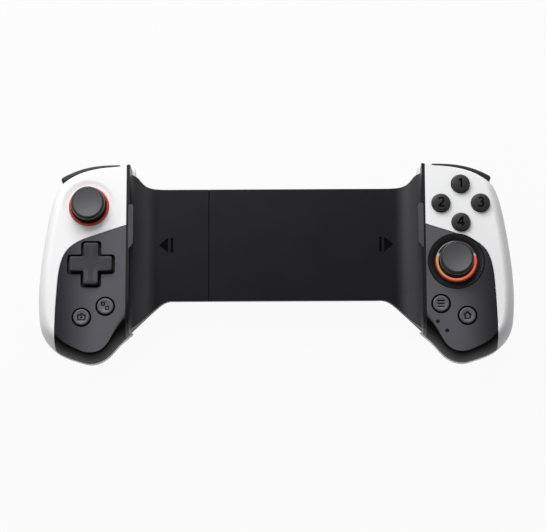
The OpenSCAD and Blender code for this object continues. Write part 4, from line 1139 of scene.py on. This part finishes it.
low, high = (np.array(c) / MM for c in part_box("return_springs"))
pull_r = (high[2] - low[2]) / 2
pulls = together(*[coil((low[0], y + MIDDLE_Y, low[2] + pull_r), high[0] - low[0], pull_r, 0.45, 96)
                   for y in (low[1] + pull_r, high[1] - pull_r)])
piece("pull_springs", pulls, 1, "left_half", steel, ["return_springs"])
low, high = (np.array(c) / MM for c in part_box("right_trigger_spring"))
middle = (low + high) / 2
turn_back = coil((low[0], middle[1] + MIDDLE_Y, middle[2]), high[0] - low[0], 2.3, 0.5, 4.5, 32)
both_sides("_trigger_coil", turn_back, "_half", steel, "_trigger_spring")
print("springs wound, the long ones with", len(pulls.vertices), "points")

# %% [markdown]
# ## Finishes for the CAD pieces that stay
# Boards, rails, screws and the other inner pieces are already right in the CAD model. They only need a
# finish.

# %% Give finishes to the inner pieces
INNER = {"bridge_back": back_black, "slide_tray": tray_black, "guide_rails": steel, "board": board_green,
         "charge_port": steel, "stick_module": gimbal, "membrane": membrane_grey, "status_lights": smoked,
         "screws": steel, "trigger_pin": steel, "stick_yoke": gimbal, "stick_shaft": gimbal, "battery": foil,
         "dpad_cup": gimbal, "dpad_ball": steel, "flex_cable": ribbon_film}
dressed = 0
for name, obj in frame["nodes"].items():
    look = [f for key, f in INNER.items() if key in name]
    if look and not obj.hide_render:
        obj.data.materials.clear()
        obj.data.materials.append(look[0].material)
        dressed += 1
print("inner pieces with a finish:", dressed)

# %% [markdown]
# ## Studio
# The controller lies on a pale table. A large soft lamp hangs close above its left half, a weaker one
# fills from behind on the right, and a dim one on the left only leaves a glint on what leans towards it.
# An even, dim surrounding opens the shadows. The table is white to the camera and to reflections, and
# keeps part of the shadow that falls on it.

# %% Table
floor_mesh = bpy.data.meshes.new("table")
floor_mesh.from_pydata([(-4, -4, 0), (4, -4, 0), (4, 4, 0), (-4, 4, 0)], [], [(0, 1, 2, 3)])
table = bpy.data.objects.new("table", floor_mesh)
table.location.z = -0.0002
bpy.context.scene.collection.objects.link(table)
paper = Finish("white_table", Roughness=0.9, Specular_IOR_Level=0.1)
paper.set("Base Color", paper.mix(paper.noise(8, 2), (0.44, 0.44, 0.445), (0.47, 0.47, 0.47)))
seen = paper.node("ShaderNodeLightPath", {}, {}, "Is Camera Ray")
for ray in ("Is Glossy Ray", "Is Transmission Ray"):
    seen = seen + paper.node("ShaderNodeLightPath", {}, {}, ray)
glowing = paper.node("ShaderNodeEmission", {}, {"Color": (1, 1, 1, 1), "Strength": 1.0})
WHITE_SHARE = 0.945                          # the rest shows the shadow
share = WHITE_SHARE * paper.node("ShaderNodeMath", {"operation": "MINIMUM"}, {0: seen, 1: 1.0})
mixed = paper.node("ShaderNodeMixShader", {}, {0: share, 1: Flow(paper, paper.shader.outputs[0]), 2: glowing})
paper.feed(paper.tree.nodes["Material Output"].inputs["Surface"], mixed)
floor_mesh.materials.append(paper.material)
print("table at", round(table.location.z / MM, 2), "mm")

# %% Lamps and surroundings
def softbox(name, at, aim, size, watts):
    lamp = bpy.data.lights.new(name, "AREA")
    lamp.shape, lamp.size, lamp.size_y, lamp.energy = "RECTANGLE", size[0], size[1], watts
    obj = bpy.data.objects.new(name, lamp)
    obj.location = at
    obj.rotation_euler = (Vector(aim) - Vector(at)).to_track_quat("-Z", "Y").to_euler()
    bpy.context.scene.collection.objects.link(obj)


softbox("key_above", (-0.17, 0.45, 0.45), (0, 0, 0), (0.5, 0.5), 4.2)
softbox("fill_right", (0.20, 0.75, 0.60), (0, 0, 0), (0.6, 0.6), 1.5)
softbox("glint_left", (-0.85, 0.22, 0.50), (0, 0, 0), (0.7, 0.7), 1.1)
world = bpy.data.worlds.new("studio")
world.use_nodes = True
world.node_tree.nodes["Background"].inputs["Color"].default_value = (0.98, 0.985, 1.0, 1)
world.node_tree.nodes["Background"].inputs["Strength"].default_value = 0.27
bpy.context.scene.world = world
bpy.context.scene.view_settings.view_transform = "Standard"
print("three softboxes and a dim white surrounding")

# %% [markdown]
# ## Camera
# The photograph was taken from far away, nearly straight down and a little from below, with a long lens.
# The camera is placed by its direction and distance, and then moved sideways by a pixel or two to frame it
# alike.

# %% Long lens
FOCAL_PX, WIDTH_PX, DISTANCE, SENSOR = 2604.0, 546, 1.247, 36.0
RIGHT_PX, UP_PX = 2.8, 2.15                  # how far the frame's middle lies beside the aim
tilt = math.radians(13)
back = Vector((math.sin(tilt) * 0.06, -math.sin(tilt) * 0.998, math.cos(tilt))).normalized()
right = Vector((0, 1, 0)).cross(back).normalized()
up = back.cross(right)
roll = math.radians(-0.09)
right, up = right * math.cos(roll) + up * math.sin(roll), up * math.cos(roll) - right * math.sin(roll)
pixel = DISTANCE / FOCAL_PX
target = Vector((0, -MIDDLE_Y * MM, 0.030)) - right * RIGHT_PX * pixel - up * UP_PX * pixel
lens = bpy.data.cameras.new("camera")
lens.sensor_width, lens.lens = SENSOR, FOCAL_PX / WIDTH_PX * SENSOR
camera = bpy.data.objects.new("camera", lens)
turned = Matrix((right, up, back)).transposed().to_4x4()
camera.matrix_world = Matrix.Translation(target + back * DISTANCE) @ turned
bpy.context.scene.collection.objects.link(camera)
bpy.context.scene.camera = camera
print("lens", round(lens.lens, 1), "mm")
